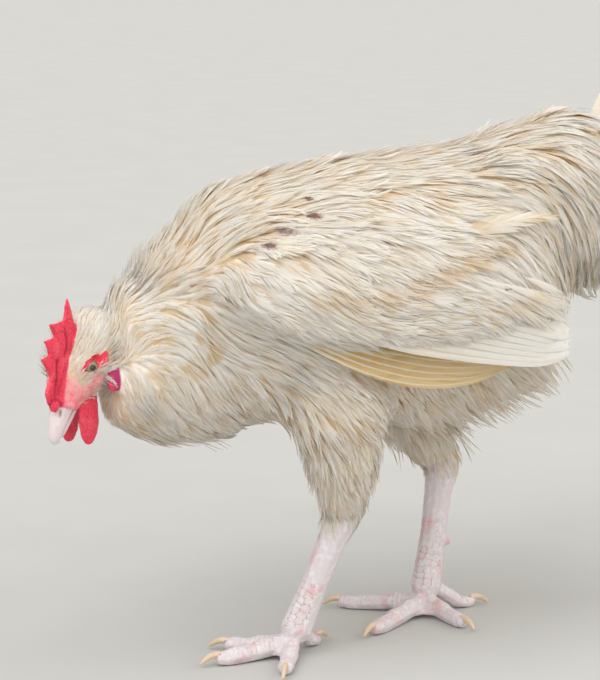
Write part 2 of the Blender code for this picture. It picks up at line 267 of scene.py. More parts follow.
def swelling(points):
    """How far the feathered solids are swollen before the remesh, in metres, so that it closes the creases."""
    from_head_middle = np.linalg.norm(points - HEAD_AT, axis=1)
    return CREASE_FILL * ease(from_head_middle, 0.050, 0.095) * ease(points[:, 2], 0.122, 0.160) * MM


def welded(nodes, extras=()):
    """One mesh of these solids, each swollen until they touch, and of some extra closed lumps."""
    joined = bmesh.new()
    for lump in extras:
        joined.from_mesh(lump)
        bpy.data.meshes.remove(lump)
    for node in nodes:
        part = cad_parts[node].data.copy()
        one = bmesh.new()
        one.from_mesh(part)
        bmesh.ops.remove_doubles(one, verts=one.verts, dist=0.01 * MM)
        one.normal_update()
        growth = swelling(np.array([corner.co[:] for corner in one.verts])) + TOUCH
        for corner, depth in zip(one.verts, growth):
            corner.co += corner.normal * depth
        one.to_mesh(part)
        one.free()
        joined.from_mesh(part)
        bpy.data.meshes.remove(part)
    return as_mesh(joined, "flesh")


def with_modifier(mesh, kind, group=None, **settings):
    """The mesh as a modifier leaves it. Group gives one weight for each point, for a modifier that asks for it."""
    helper = linked("helper", mesh)
    if group is not None:
        weights = helper.vertex_groups.new(name="where")
        levels = np.round(np.clip(group, 0, 1) * 10).astype(int)
        for level in range(1, 11):
            weights.add(np.flatnonzero(levels == level).tolist(), level / 10, "REPLACE")
        settings["vertex_group"] = "where"
    step = helper.modifiers.new("step", kind)
    for key, value in settings.items():
        setattr(step, key, value)
    graph = bpy.context.evaluated_depsgraph_get()
    made = bpy.data.meshes.new_from_object(helper.evaluated_get(graph))
    bpy.data.objects.remove(helper)
    bpy.data.meshes.remove(mesh)
    return made


# %% [markdown]
# Two things are too thin or too small for the solids, and are added as lumps before the remesh, which melts
# them in: the webs between the front toes, and the buds of the spurs on the inner side of each shank.

# %% Webs and spur buds
LEGS = {
    "left": {
        "hock": (37, -71.7, 101),
        "foot": (28, -105.7, 11),
        "spur": (27, -83.5, 46),
        "toes": {"inner": (60, -34), "middle": (70, 2), "outer": (60, 60), "hind": (44, -148)},
    },
    "right": {
        "hock": (-34, 41.3, 111),
        "foot": (-24, 23.3, 11),
        "spur": (-23.5, 40, 52),
        "toes": {"inner": (62, 98), "middle": (84, 32), "outer": (76, -33), "hind": (52, 178)},
    },
}
WEB_REACH = 0.42
WEB_AT_FOOT, WEB_AT_TOES = 6, 5
WEB_EDGE_OUT, WEB_EDGE_IN = 0.72, 0.28
WEB_ABOVE, WEB_BELOW = 1.6, 2.2
SPUR_RADIUS = 3.4


def heading(degrees):
    """The level direction of a toe: 0 points ahead and positive turns to the bird's left."""
    return np.array((math.sin(math.radians(degrees)), -math.cos(math.radians(degrees)), 0))


def web(leg, one, other):
    """A thin wedge between two toes, whose free edge is drawn in towards the foot."""
    foot = np.array(leg["foot"], float) * (1, 1, 0)
    corners = [foot + (0, 0, WEB_AT_FOOT)]
    for toe in (one, other):
        length, turn = leg["toes"][toe]
        corners.append(foot + heading(turn) * length * WEB_REACH + (0, 0, WEB_AT_TOES))
    middle = (corners[1] + corners[2]) / 2 * WEB_EDGE_OUT + corners[0] * WEB_EDGE_IN
    ring = [corners[0], corners[1], middle, corners[2]]
    lump = bmesh.new()
    top = [lump.verts.new(Vector(p + np.array((0, 0, WEB_ABOVE))) * MM) for p in ring]
    low = [lump.verts.new(Vector(p - np.array((0, 0, WEB_BELOW))) * MM) for p in ring]
    lump.faces.new(top)
    lump.faces.new(low[::-1])
    for i in range(4):
        lump.faces.new((top[i], low[i], low[(i + 1) % 4], top[(i + 1) % 4]))
    bmesh.ops.recalc_face_normals(lump, faces=lump.faces)
    return as_mesh(lump, "web")


def spur_bud(leg):
    lump = bmesh.new()
    bmesh.ops.create_icosphere(lump, subdivisions=2, radius=SPUR_RADIUS * MM)
    for corner in lump.verts:
        corner.co += Vector(leg["spur"]) * MM
    return as_mesh(lump, "spur")


lumps = [web(leg, one, "middle") for leg in LEGS.values() for one in ("inner", "outer")]
lumps += [spur_bud(leg) for leg in LEGS.values()]
print("webs and spurs:", len(lumps))

# %% [markdown]
# The plumage hides where wing, neck and trunk meet, so under it the skin must flow from one to the next with
# no crease. These solids are joined first, on a coarse grid, and the joint round each shoulder is smoothed until
# its bulge is gone. The head and the bare legs are only added after that, on the fine grid.

# %% Join the feathered solids softly
BODY = ["trunk", "saddle", "neck"] + [part + "_" + side for part in ("wing", "thigh") for side in SIDES]
BODY_VOXEL = 3.2 * MM
SHOULDER = (78, -150, 262)
WING_END = (86, 30, 240)
JOINT_ROUNDS = 70


def neighbours(mesh):
    pairs = np.empty(len(mesh.edges) * 2, np.int32)
    mesh.edges.foreach_get("vertices", pairs)
    pairs = pairs.reshape(-1, 2)
    return np.concatenate((pairs, pairs[:, ::-1]))


def smoothed(values, pairs, rounds, weight):
    """Values after each point has moved towards the mean of its neighbours this many times."""
    count = np.bincount(pairs[:, 0], minlength=len(values))[:, None]
    for _ in range(rounds):
        sums = [np.bincount(pairs[:, 0], column[pairs[:, 1]], len(values)) for column in values.T]
        values = values + (np.stack(sums, 1) / count - values) * weight[:, None]
    return values


def soft_body():
    mesh = with_modifier(welded(BODY), "REMESH", mode="VOXEL", voxel_size=BODY_VOXEL)
    points = points_of(mesh)
    places = folded(points)
    shoulder = ease(-np.linalg.norm(places - SHOULDER, axis=1), -105, -45)
    shoulder = np.maximum(shoulder, ease(-np.linalg.norm(places - WING_END, axis=1), -60, -20))
    free = ease(points[:, 2], 0.125, 0.185)
    points = smoothed(points, neighbours(mesh), JOINT_ROUNDS, (0.06 + 0.44 * shoulder) * free)
    move_points(mesh, points)
    return mesh


EYE_NODES = ["eye_" + side for side in SIDES]
bare_nodes = [node for node in FLESH if node not in BODY] + EYE_NODES
skin_mesh = with_modifier(welded(bare_nodes, lumps + [soft_body()]), "REMESH", mode="VOXEL", voxel_size=SKIN_VOXEL)
print("skin:", len(skin_mesh.vertices), "points before it is refined")

# %% [markdown]
# The remesh leaves small steps and hard creases where the solids met. Each point is moved towards the mean of
# its neighbours a few times. The feathered parts take many rounds, so that neck, wings and trunk flow together,
# while the bare head and legs take only a few and keep their form.

# %% Smooth the skin and sink it below the coat
CUFF_AT = {"left": 0.103, "right": 0.112}
BODY_DEPTH, HEAD_SHALLOWER = 6.5, 4.7
CUFF_DEPTH, LEG_DEEPER = 0.3, 6.0
ALL_ROUNDS, FEATHERED_ROUNDS = 3, 40
SINK_STEPS, SINK_ROUNDS = 3, 8


def solid_tree(node):
    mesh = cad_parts[node].data
    return BVHTree.FromPolygons([v.co[:] for v in mesh.vertices], [f.vertices[:] for f in mesh.polygons])


HEAD_PARTS = ("comb", "wattle_left", "wattle_right", "earlobe_left", "earlobe_right")
HEAD_TREES = {node: solid_tree(node) for node in HEAD_PARTS}
HEAD_MIDDLE, HEAD_REACH = (5, 0, 0), 66
# The ball of the eye, and the slit between its lids, in the head's millimetres; the tilt is in radians
EYE_ABOVE, EYE_OUT, EYE_RADIUS = 0.5, 13.8, 6.2
SLIT_AT = (-0.6, 2.9)
SLIT_LONG, SLIT_HIGH, SLIT_TILT = 5.6, 3.0, 0.30


def near_part(points, word):
    """Millimetres from each point to the nearest solid whose name starts with this word."""
    trees = [tree for node, tree in HEAD_TREES.items() if node.startswith(word)]
    return np.array([min(tree.find_nearest(point)[3] for tree in trees) for point in points.tolist()]) / MM


def eye_ring(points):
    """1 on the line where the lids part, growing outwards from the middle of the eye."""
    ahead, _, above = in_head(points).T
    ahead, above = ahead - SLIT_AT[0], above - SLIT_AT[1]
    along = np.abs(ahead * math.cos(SLIT_TILT) + above * math.sin(SLIT_TILT)) / SLIT_LONG
    across = np.abs(above * math.cos(SLIT_TILT) - ahead * math.sin(SLIT_TILT)) / SLIT_HIGH
    return (along**1.5 + across**1.8) ** 0.6


def head_shares(points):
    """How far each point belongs to the comb, the wattles, the lobes, the eye ring and the bare face."""
    names = ("comb", "wattle", "lobe", "ring", "face")
    shares = {name: np.zeros(len(points)) for name in names}
    near = np.flatnonzero(np.linalg.norm(in_head(points) - HEAD_MIDDLE, axis=1) < HEAD_REACH)
    if len(near) == 0:
        return shares
    close = points[near]
    ahead, left, above = in_head(close).T
    outer = ease(np.abs(left), 9, 11)
    shares["comb"][near] = ease(-near_part(close, "comb"), -2.4, -1.2)
    shares["wattle"][near] = ease(-near_part(close, "wattle"), -2.4, -1.0)
    shares["lobe"][near] = ease(-near_part(close, "earlobe"), -1.7, -0.9)
    ring = ease(-eye_ring(close), -1.75, -1.45) * outer
    behind = ease(0.6 * above - 0.8 * ahead, -2.5, 2.5)
    along = (ahead + 8) * 0.90 - (above + 4) * 0.43
    across = (ahead + 8) * 0.43 + (above + 4) * 0.90
    patch = ease(-np.hypot(along / 6.8, across / 3.2), -1.15, -0.9) * outer
    shares["ring"][near] = np.maximum(ring * behind, patch)
    front = ease(ahead + 0.25 * above, 10, 17) * ease(above, -17, -14)
    cheek = ease(ahead + 0.3 * above, -8, -4) * ease(-above, -1, 3) * ease(above, -19, -15)
    cheek = cheek * ease(-np.abs(left), -19, -17)
    shares["face"][near] = np.maximum(np.maximum(front, cheek), ring)
    return shares


def bare_head(points):
    """1 on the comb, face, wattles and lobes, where no feathers root, and 0 on the feathered crown and neck."""
    return np.max(list(head_shares(points).values()), axis=0)


def cuff_at(points):
    """The height of the feather cuff of the leg on the side of each point."""
    return np.where(points[:, 0] > 0, CUFF_AT["left"], CUFF_AT["right"])


def bare_leg(points):
    """1 below the feather cuff of each leg."""
    cuff, z = cuff_at(points), points[:, 2]
    return ease(-z, -cuff - 0.004, -cuff + 0.004)


def coat_depth(points):
    """How deep the skin lies below the outer line of the plumage, in metres."""
    near_head = ease(-np.linalg.norm(in_head(points), axis=1), -75, -45)
    cuff = cuff_at(points)
    depth = BODY_DEPTH - HEAD_SHALLOWER * near_head
    depth = np.minimum(depth, CUFF_DEPTH + LEG_DEEPER * ease(points[:, 2], cuff - 0.002, cuff + 0.045))
    return depth * (1 - bare_head(points)) * (1 - bare_leg(points)) * MM


def feathered_share(points):
    """1 where feathers root, and 0 on the bare head and legs."""
    return (1 - bare_head(points)) * (1 - bare_leg(points))


pairs = neighbours(skin_mesh)
points = points_of(skin_mesh)
feathered = feathered_share(points)
points = smoothed(points, pairs, ALL_ROUNDS, 0.25 + 0.25 * feathered)
points = smoothed(points, pairs, FEATHERED_ROUNDS, 0.5 * feathered)
move_points(skin_mesh, points)
for _ in range(SINK_STEPS):
    sink = (coat_depth(points) + swelling(points)) / SINK_STEPS
    points = points - normals_of(skin_mesh) * sink[:, None]
    points = smoothed(points, pairs, SINK_ROUNDS, 0.5 * feathered)
    move_points(skin_mesh, points)
print("skin lies up to", round(coat_depth(points).max() / MM, 1), "mm below the coat")

# %% [markdown]
# The bare skin carries the bird's expression, so its folds are real shape and not only bump. The comb and
# wattles are pebbled, the face is finely creased, and the lids stand round the eye as a raised almond. Each
# point of the skin is moved along its own direction by a height that depends only on where it lies.

# %% Lids, folds and pebbles of the head
from mathutils import noise as solid_noise


def pebbled(points, size):
    """From 0 in the cracks between rounded cells of this size, in millimetres, to 1 on their middles."""
    scaled = points / (size * MM)
    return np.array([1 - min(solid_noise.voronoi(point)[0][0] * 1.25, 1) for point in scaled.tolist()])


def rough(points, size):
    """A smooth random height from -1 to 1, with waves of this size in millimetres."""
    return np.array([solid_noise.noise(point) for point in (points / (size * MM)).tolist()])


# How far from the middle of the head the lids reach, and where they fade out round the eye, in millimetres.
EYE_SPAN = 32
LID_OUTSIDE, LID_INSIDE = 2.4, 1.9


def with_finer_eyes(mesh):
    """Splits the faces round the eyes twice, because the lids are thinner than the rest of the skin's detail."""
    work = bmesh.new()
    work.from_mesh(mesh)
    for _ in range(2):
        middles = np.array([face.calc_center_median()[:] for face in work.faces])
        close = (np.abs(in_head(middles)[:, 1]) > 12) & (eye_ring(middles) < LID_OUTSIDE)
        close &= np.linalg.norm(in_head(middles), axis=1) < EYE_SPAN
        work.faces.ensure_lookup_table()
        edges = {edge for i in np.flatnonzero(close) for edge in work.faces[i].edges}
        bmesh.ops.subdivide_edges(work, edges=list(edges), cuts=1, use_grid_fill=True)
    work.to_mesh(mesh)
    work.free()


def eyelids(points):
    """Moves the skin round each eye: into the ball inside the slit, and over it as a raised rim outside."""
    places = in_head(points)
    ahead, left, above = places.T
    ring = eye_ring(points)
    off = np.hypot(ahead, above - EYE_ABOVE)
    ball = EYE_OUT + np.sqrt(np.clip(EYE_RADIUS**2 - off**2, 0, None))
    rim = 0.45 * hump(ring, 1.14, 0.13) - 0.30 * hump(ring, 1.48, 0.10)
    rim += 0.22 * hump(ring, 1.78, 0.12) - 0.14 * hump(ring, 2.02, 0.09)
    around = np.arctan2(above - SLIT_AT[1], ahead - SLIT_AT[0])
    wrinkle = 0.06 * np.sin(around * 17) * ease(ring, 1.2, 1.6)
    away = ease(ring, 1.15, 2.0)
    lid = (1 - away) * (ball + 0.4) + away * np.abs(left)
    target = np.where(ring < 1, ball - 1.4, lid + rim + wrinkle)
    share = ease(-ring, -LID_OUTSIDE, -LID_INSIDE) * ease(np.abs(left), 11, 12.5)
    share = share * (np.linalg.norm(places, axis=1) < EYE_SPAN)
    places[:, 1] = np.sign(left) * (np.abs(left) * (1 - share) + target * share)
    return from_head(places)


# Lines of the deep folds at the foot of the comb, and the bead of flesh over the nostrils: ahead, left, above
FOLDS = (
    ((-8, 6.5, 16), (4, 7.5, 13.6), (13, 7.0, 12.4), (22, 5.5, 11.6), (28, 5.0, 9.5)),
    ((6, 4.6, 24), (14, 4.8, 20), (22, 4.6, 15), (27, 4.4, 12.5)),
    ((-14, 5.0, 27), (-8, 5.0, 21), (0, 5.4, 18)),
)
BEAD = (32.5, 3.2, 8.2)
# part, size of its pebbles, their depth
PEBBLES = (("comb", 1.5, 0.30), ("wattle", 1.5, 0.30), ("lobe", 2.6, 0.25), ("face", 1.7, 0.26))


def near_line(places, line):
    """Distance from each place to a line through these corners, in millimetres."""
    best = np.full(len(places), 99.0)
    for start, end in zip(np.array(line, float)[:-1], np.array(line, float)[1:]):
        along = np.clip((places - start) @ (end - start) / ((end - start) @ (end - start)), 0, 1)
        best = np.minimum(best, np.linalg.norm(places - start - along[:, None] * (end - start), axis=1))
    return best


def folds_at(places):
    """1 on the lines of the folds and on the rim of the bead, and 1 on the bead itself."""
    mirrored = np.stack((places[:, 0], np.abs(places[:, 1]), places[:, 2]), 1)
    lines = np.max([hump(near_line(mirrored, line), 0, 1.3) for line in FOLDS], axis=0)
    off = np.linalg.norm(mirrored - BEAD, axis=1)
    return np.maximum(lines, 0.8 * hump(off, 4.6, 0.8)), hump(off, 0, 3.4)


def head_heights(points, shares):
    """How far each point of the head moves outwards, in millimetres."""
    height = np.zeros(len(points))
    fold, bead = folds_at(in_head(points))
    height += np.maximum(shares["comb"], shares["face"]) * (1.1 * bead - fold)
    for name, size, depth in PEBBLES:
        on = np.flatnonzero(shares[name] > 0.02)
        if len(on):
            bumps = pebbled(points[on], size) - 0.45
            folds = rough(points[on], 8.0)
            height[on] += shares[name][on] * (depth * bumps + 0.35 * folds)
    ahead, _, above = in_head(points).T
    crease = np.sin(0.9 * ahead + 1.6 * above + 0.8 * np.sin(0.7 * above)) * shares["face"] * 0.16
    return height + crease


with_finer_eyes(skin_mesh)
points = points_of(skin_mesh)
near_head = np.flatnonzero(np.linalg.norm(in_head(points), axis=1) < 62)
shares = head_shares(points[near_head])
heights = head_heights(points[near_head], shares)
points[near_head] += normals_of(skin_mesh)[near_head] * (heights * MM)[:, None]
points[near_head] = eyelids(points[near_head])
move_points(skin_mesh, points)
print("head skin:", len(near_head), "points")

# %% [markdown]
# A fowl's shank is clad in scutes: a few broad plates down the front, finer ones at the back, and a row of
# plates across each toe. Plates are cells on the unrolled leg, so the same cells give both the grooves in the
# skin and the brown dirt that lies in them.

# %% Scutes of the legs
CELL_JITTER = 0.55
GROOVE_DEPTH = 0.42
FLOOR_GAP = 0.15


def scrambled(one, other, seed):
    """A number from 0 to 1 that looks random, but is the same each time for the same input."""
    value = np.sin(one + other + seed) * 43758.5453
    return value - np.floor(value)


def cell_borders(u, v, seed):
    """For places on a sheet with one jittered cell in each unit square: how near the border of its cell each is."""
    near = np.full((2, len(u)), 9.0)
    base_u, base_v = np.floor(u), np.floor(v)
    for step_u in (-1, 0, 1):
        for step_v in (-1, 0, 1):
            cell_u, cell_v = base_u + step_u, base_v + step_v
            at_u = cell_u + 0.5 + CELL_JITTER * (scrambled(cell_u * 127.1, cell_v * 311.7, seed) - 0.5)
            at_v = cell_v + 0.5 + CELL_JITTER * (scrambled(cell_u * 269.5, cell_v * 183.3, seed) - 0.5)
            away = np.hypot(u - at_u, v - at_v)
            near[1] = np.where(away < near[0], near[0], np.minimum(near[1], away))
            near[0] = np.minimum(near[0], away)
    return near[1] - near[0]


def shank_grooves(points, leg):
    """Depth of the grooves on a shank, from 0 to 1, and deeper low down."""
    hock, foot = np.array(leg["hock"], float), np.array(leg["foot"], float)
    down = (foot - hock) / np.linalg.norm(foot - hock)
    front = heading(leg["toes"]["middle"][1])
    front = unit(front - down * front.dot(down))
    away = points / MM - hock
    along = away @ down
    round_it = np.arctan2(away @ np.cross(down, front), away @ front)
    facing = ease(np.abs(round_it), 2.0, 1.4)
    broad = cell_borders(along / 4.6, round_it * 9 / 5.2 + 0.25, 3)
    fine = cell_borders(along / 3.0, round_it * 9 / 3.2, 7)
    low = ease(along, 25, 70)
    groove = facing * (1 - ease(broad, 0.02, 0.20)) + (1 - facing) * 0.5 * (1 - ease(fine, 0.02, 0.25))
    return groove * (0.30 + 0.70 * low)


def toe_grooves(points, leg, normals):
    """The same for the toes: bands across the top, fine cells below, and the swell of each joint's pad."""
    foot = np.array(leg["foot"], float)
    away = points / MM - foot
    names = list(leg["toes"])
    headings = np.array([heading(leg["toes"][name][1]) for name in names])
    reach = away @ headings.T
    sideways = np.abs(np.cross(away[:, None, :], headings[None])[..., 2])
    which = np.argmin(sideways + 1000 * (reach < 0), axis=1)
    along = reach[np.arange(len(points)), which]
    off = sideways[np.arange(len(points)), which]
    band = np.abs((along / 3.3 + 0.12 * np.sin(off * 0.9)) % 1 - 0.5) * 2
    top = ease(normals[:, 2], 0.05, 0.45)
    x, y, z = (points / MM / 1.9).T
    fine = cell_borders(x, y + z, 5)
    groove = top * ease(band, 0.74, 0.97) + (1 - top) * 0.5 * (1 - ease(fine, 0.02, 0.3))
    on_toe = ease(along, 10, 18) * ease(-off, -9, -7)
    pad = np.cos(2 * math.pi * (along - 4) / 19)
    return groove, on_toe, pad


def leg_grooves(points, normals):
    """Depth of the grooves from 0 to 1, and the swell of the toes' pads in millimetres, for both legs."""
    groove = np.zeros(len(points))
    swell = np.zeros(len(points))
    for side, sign in SIDES.items():
        leg = LEGS[side]
        mine = np.flatnonzero((points[:, 0] * sign > 0) & (points[:, 2] < 0.125))
        if len(mine) == 0:
            continue
        place = points[mine]
        on_shank = ease(place[:, 2], 0.014, 0.026)
        plates = shank_grooves(place, leg)
        bands, on_toe, pad = toe_grooves(place, leg, normals[mine])
        ankle = 1 - ease(cell_borders(place[:, 2] / MM / 2.6, place[:, 0] / MM / 7, 2), 0.02, 0.25)
        foot = bands * on_toe + 0.7 * ankle * (1 - on_toe)
        groove[mine] = plates * on_shank + foot * (1 - on_shank)
        swell[mine] = 0.55 * pad * on_toe * (1 - on_shank) * ease(place[:, 2], 0.002, 0.006)
    return groove, swell


points = points_of(skin_mesh)
normals = normals_of(skin_mesh)
on_leg = np.flatnonzero(bare_leg(points) > 0.02)
groove, swell = leg_grooves(points[on_leg], normals[on_leg])
heights = (swell - GROOVE_DEPTH * groove) * bare_leg(points[on_leg])
points[on_leg] += normals[on_leg] * (heights * MM)[:, None]
points[:, 2] = np.maximum(points[:, 2], FLOOR_GAP * MM)
move_points(skin_mesh, points)
print("leg skin:", len(on_leg), "points, deepest groove", round(float(groove.max() * GROOVE_DEPTH), 2), "mm")

# %% [markdown]
# Feathers lie in streams: up the nape and along the back, round the shoulder, straight down below the ear, and
# down the thigh to a cuff at the hock. The table names these streams at places that are easy to find again on
# the solids. Each row gives a place, the direction in which a feather there points, its length, half its
# width, how far apart the roots stand, how far the tip stands off, and its kind. Between the rows the numbers
# are blended, and the kind is that of the nearest row. Particle hair would do the combing with brushes, but it
# can't be exported, so the lie is a table.

# %% Table of the plumage
BOTH, LEFT, RIGHT = 0, 1, -1
# Factors of the width and the spacing: for every long feather, and again for the long ones of the neck
LONG_FROM, NECK_BEFORE = 20, -175
BROADER = (1.25, 0.96)
NECK_FINER = (0.85, 0.95)
KINDS = ("bristle", "hackle", "covert", "fluff", "lock")
BRISTLE, HACKLE, COVERT, FLUFF, LOCK = range(5)
# side, x, y, z, along x, along y, along z, length, half width, spacing, stand-off, kind
LIE = (
    (BOTH, 4, -224, 258, 0.0, 0.5, 0.8, 17, 2.0, 3.0, 1.0, HACKLE),
    (BOTH, 24, -178, 294, 0.1, 0.82, 0.5, 34, 3.0, 4.0, 0.5, HACKLE),
    (BOTH, 18, -211, 265, 0.3, 0.7, 0.5, 26, 2.5, 3.4, 0.6, HACKLE),
    (BOTH, 30, -162, 310, 0.15, 0.90, 0.42, 40, 3.6, 4.6, 0.5, LOCK),
    (BOTH, 0, -165, 312, 0.0, 0.88, 0.45, 40, 3.6, 4.6, 0.6, LOCK),
    (BOTH, 30, -130, 325, 0.0, 0.98, 0.21, 44, 4.0, 5.0, 0.5, LOCK),
    (BOTH, 21, -97, 334, 0.06, 0.99, 0.11, 44, 4.2, 5.2, 0.5, LOCK),
    (BOTH, 23, -61, 338, 0.10, 0.99, 0.00, 44, 4.4, 5.4, 0.5, LOCK),
    (BOTH, 32, -20, 337, 0.20, 0.97, -0.04, 46, 4.4, 5.4, 0.5, LOCK),
    (BOTH, 0, 0, 346, 0.0, 1.0, 0.02, 46, 4.4, 5.4, 0.5, LOCK),
    (BOTH, 28, 30, 341, 0.05, 0.99, 0.04, 52, 4.4, 5.4, 0.6, LOCK),
    (BOTH, 17, 84, 359, 0.35, 0.90, -0.05, 60, 3.8, 5.0, 0.8, LOCK),
    (BOTH, 0, 110, 368, 0.05, 1.0, 0.10, 60, 3.8, 5.2, 1.0, LOCK),
    (BOTH, 45, 56, 334, 0.35, 0.80, -0.42, 62, 3.8, 4.8, 0.8, LOCK),
    (BOTH, 33, 111, 351, 0.25, 0.80, -0.50, 66, 3.8, 4.8, 1.0, LOCK),
    (BOTH, 55, 75, 313, 0.09, 0.66, -0.72, 66, 3.4, 4.6, 1.0, LOCK),
    (BOTH, 50, 96, 289, -0.05, 0.42, -0.90, 58, 3.2, 4.6, 1.5, LOCK),
    (BOTH, 38, 117, 265, -0.05, 0.25, -0.95, 46, 3.0, 4.6, 2.5, LOCK),
    (BOTH, 30, 160, 315, 0.10, 0.55, -0.80, 60, 3.4, 5.2, 2.0, LOCK),
    (BOTH, 76, -129, 302, 0.40, 0.80, -0.30, 36, 4.6, 5.2, 0.6, COVERT),
    (BOTH, 82, -144, 288, 0.45, 0.62, -0.62, 34, 4.6, 5.2, 0.6, COVERT),
    (BOTH, 94, -117, 268, 0.15, 0.77, -0.61, 40, 5.4, 6.0, 0.8, COVERT),
    (BOTH, 84, -91, 295, 0.20, 0.86, -0.46, 40, 5.2, 5.8, 0.8, COVERT),
    (BOTH, 76, -65, 302, 0.30, 0.84, -0.41, 44, 5.2, 5.8, 0.8, COVERT),
    (BOTH, 89, -54, 283, 0.12, 0.86, -0.49, 44, 5.6, 6.0, 1.0, COVERT),
    (BOTH, 66, -25, 298, 0.16, 0.90, -0.40, 46, 5.2, 5.8, 0.8, COVERT),
    (BOTH, 85, -12, 280, 0.01, 0.92, -0.38, 46, 5.6, 6.0, 1.0, COVERT),
    (BOTH, 58, 37, 310, 0.05, 0.95, -0.32, 54, 4.6, 5.4, 0.8, COVERT),
    (BOTH, 67, 50, 279, 0.0, 0.55, -0.83, 36, 4.4, 4.8, 1.2, FLUFF),
    (BOTH, 78, 49, 253, 0.05, 0.62, -0.78, 30, 4.4, 4.8, 1.2, FLUFF),
    (BOTH, 76, -171, 267, 0.37, 0.45, -0.80, 30, 4.2, 5.0, 0.5, COVERT),
    (BOTH, 80, -165, 250, 0.40, 0.90, -0.20, 44, 6.0, 6.4, 0.8, COVERT),
    (BOTH, 97, -52, 258, -0.02, 0.98, -0.14, 42, 5.4, 6.0, 0.6, COVERT),
    (BOTH, 91, 9, 248, -0.05, 0.90, -0.41, 36, 4.8, 5.2, 0.8, FLUFF),
    (BOTH, 96, -22, 247, -0.02, 0.94, -0.32, 38, 5.0, 5.4, 0.6, FLUFF),
    (BOTH, 93, -101, 229, -0.07, 0.95, -0.28, 40, 5.4, 5.8, 0.4, COVERT),
    (BOTH, 30, -218, 246, 0.50, 0.75, 0.10, 24, 2.6, 3.6, 0.5, HACKLE),
    (BOTH, 42, -202, 247, 0.45, 0.80, -0.30, 34, 3.0, 4.0, 0.5, HACKLE),
    (BOTH, 49, -181, 264, 0.15, 0.97, -0.02, 38, 3.2, 4.2, 0.5, HACKLE),
    (BOTH, 55, -183, 232, 0.20, 0.63, -0.74, 42, 3.2, 4.2, 0.6, HACKLE),
    (BOTH, 24, -228, 205, 0.25, 0.25, -0.91, 26, 2.5, 3.5, 0.6, HACKLE),
    (BOTH, 37, -211, 196, 0.05, 0.38, -0.92, 34, 3.0, 4.0, 0.7, HACKLE),
    (BOTH, 23, -217, 173, -0.12, 0.50, -0.85, 28, 2.8, 4.0, 1.2, HACKLE),
    (BOTH, 37, -190, 174, -0.15, 0.60, -0.78, 32, 3.2, 4.2, 1.2, HACKLE),
    (BOTH, 0, -216, 172, 0.0, 0.75, -0.60, 26, 3.0, 4.6, 0.8, HACKLE),
    (BOTH, 62, -156, 227, 0.35, 0.90, -0.15, 44, 4.4, 5.4, 0.8, LOCK),
    (BOTH, 63, -135, 205, -0.05, 0.79, -0.61, 40, 4.2, 5.2, 0.8, LOCK),
    (BOTH, 56, -164, 201, -0.05, 0.60, -0.80, 38, 3.8, 4.8, 0.8, LOCK),
    (BOTH, 52, -141, 188, -0.30, 0.66, -0.66, 36, 4.0, 5.0, 0.8, LOCK),
    (BOTH, 0, -170, 165, 0.0, 0.95, -0.25, 36, 5.0, 6.5, 0.8, LOCK),
    (LEFT, 58, -122, 182, 0.25, 0.48, -0.80, 34, 3.8, 4.8, 1.0, LOCK),
    (LEFT, 59, -116, 161, 0.20, 0.36, -0.90, 32, 3.8, 4.8, 1.0, LOCK),
    (LEFT, 73, -106, 175, 0.15, 0.47, -0.86, 34, 3.8, 4.8, 0.8, LOCK),
    (LEFT, 76, -100, 189, 0.20, 0.65, -0.67, 36, 4.2, 5.0, 0.8, LOCK),
    (LEFT, 79, -90, 175, 0.10, 0.50, -0.86, 34, 4.0, 5.0, 0.6, LOCK),
    (LEFT, 81, -80, 161, -0.15, 0.47, -0.87, 32, 3.8, 4.8, 0.6, LOCK),
    (LEFT, 70, -93, 139, -0.20, 0.22, -0.95, 28, 3.2, 4.4, 0.5, LOCK),
    (LEFT, 63, -79, 123, -0.25, 0.22, -0.93, 22, 2.8, 4.0, 0.4, LOCK),
    (LEFT, 28, -85, 140, 0.0, 0.20, -0.97, 24, 3.4, 5.0, 0.5, LOCK),
    (LEFT, 78, -75, 187, 0.0, 0.80, -0.58, 36, 4.6, 5.2, 0.6, LOCK),
    (RIGHT, 78, -40, 187, 0.0, 0.65, -0.75, 36, 4.6, 5.4, 0.8, LOCK),
    (RIGHT, 75, 0, 178, 0.0, 0.45, -0.88, 34, 4.2, 5.2, 0.8, LOCK),
    (RIGHT, 62, 10, 150, -0.1, 0.40, -0.90, 28, 3.6, 4.8, 0.6, LOCK),
    (RIGHT, 48, 40, 128, -0.1, 0.30, -0.94, 22, 3.0, 4.2, 0.5, LOCK),
    (RIGHT, 25, 23, 122, 0.0, 0.30, -0.94, 20, 3.0, 4.2, 0.4, LOCK),
    (RIGHT, 28, 0, 160, 0.0, 0.30, -0.94, 28, 3.8, 5.0, 0.6, LOCK),
    (BOTH, 71, -61, 211, 0.0, 0.90, -0.40, 36, 4.8, 5.6, 0.6, LOCK),
    (BOTH, 72, -10, 200, -0.15, 0.62, -0.78, 40, 4.4, 5.2, 1.5, LOCK),
    (BOTH, 27, -31, 159, 0.0, 0.55, -0.80, 30, 4.0, 5.2, 3.0, LOCK),
    (BOTH, 41, -15, 168, 0.0, 0.50, -0.84, 34, 3.8, 4.8, 5.0, LOCK),
    (BOTH, 47, 20, 177, 0.0, 0.58, -0.82, 36, 3.6, 4.6, 6.0, LOCK),
    (BOTH, 0, 20, 166, 0.0, 0.75, -0.66, 34, 4.0, 5.4, 4.0, LOCK),
    (BOTH, 45, 55, 205, 0.0, 0.72, -0.68, 34, 3.6, 4.6, 5.0, LOCK),
    (BOTH, 0, 60, 195, 0.0, 0.80, -0.60, 34, 4.0, 5.6, 4.0, LOCK),
    (BOTH, 0, -60, 152, 0.0, 0.98, -0.15, 34, 5.0, 7.0, 0.8, LOCK),
    (BOTH, 0, 95, 235, 0.0, 0.80, -0.58, 34, 4.2, 6.0, 2.0, LOCK),
)
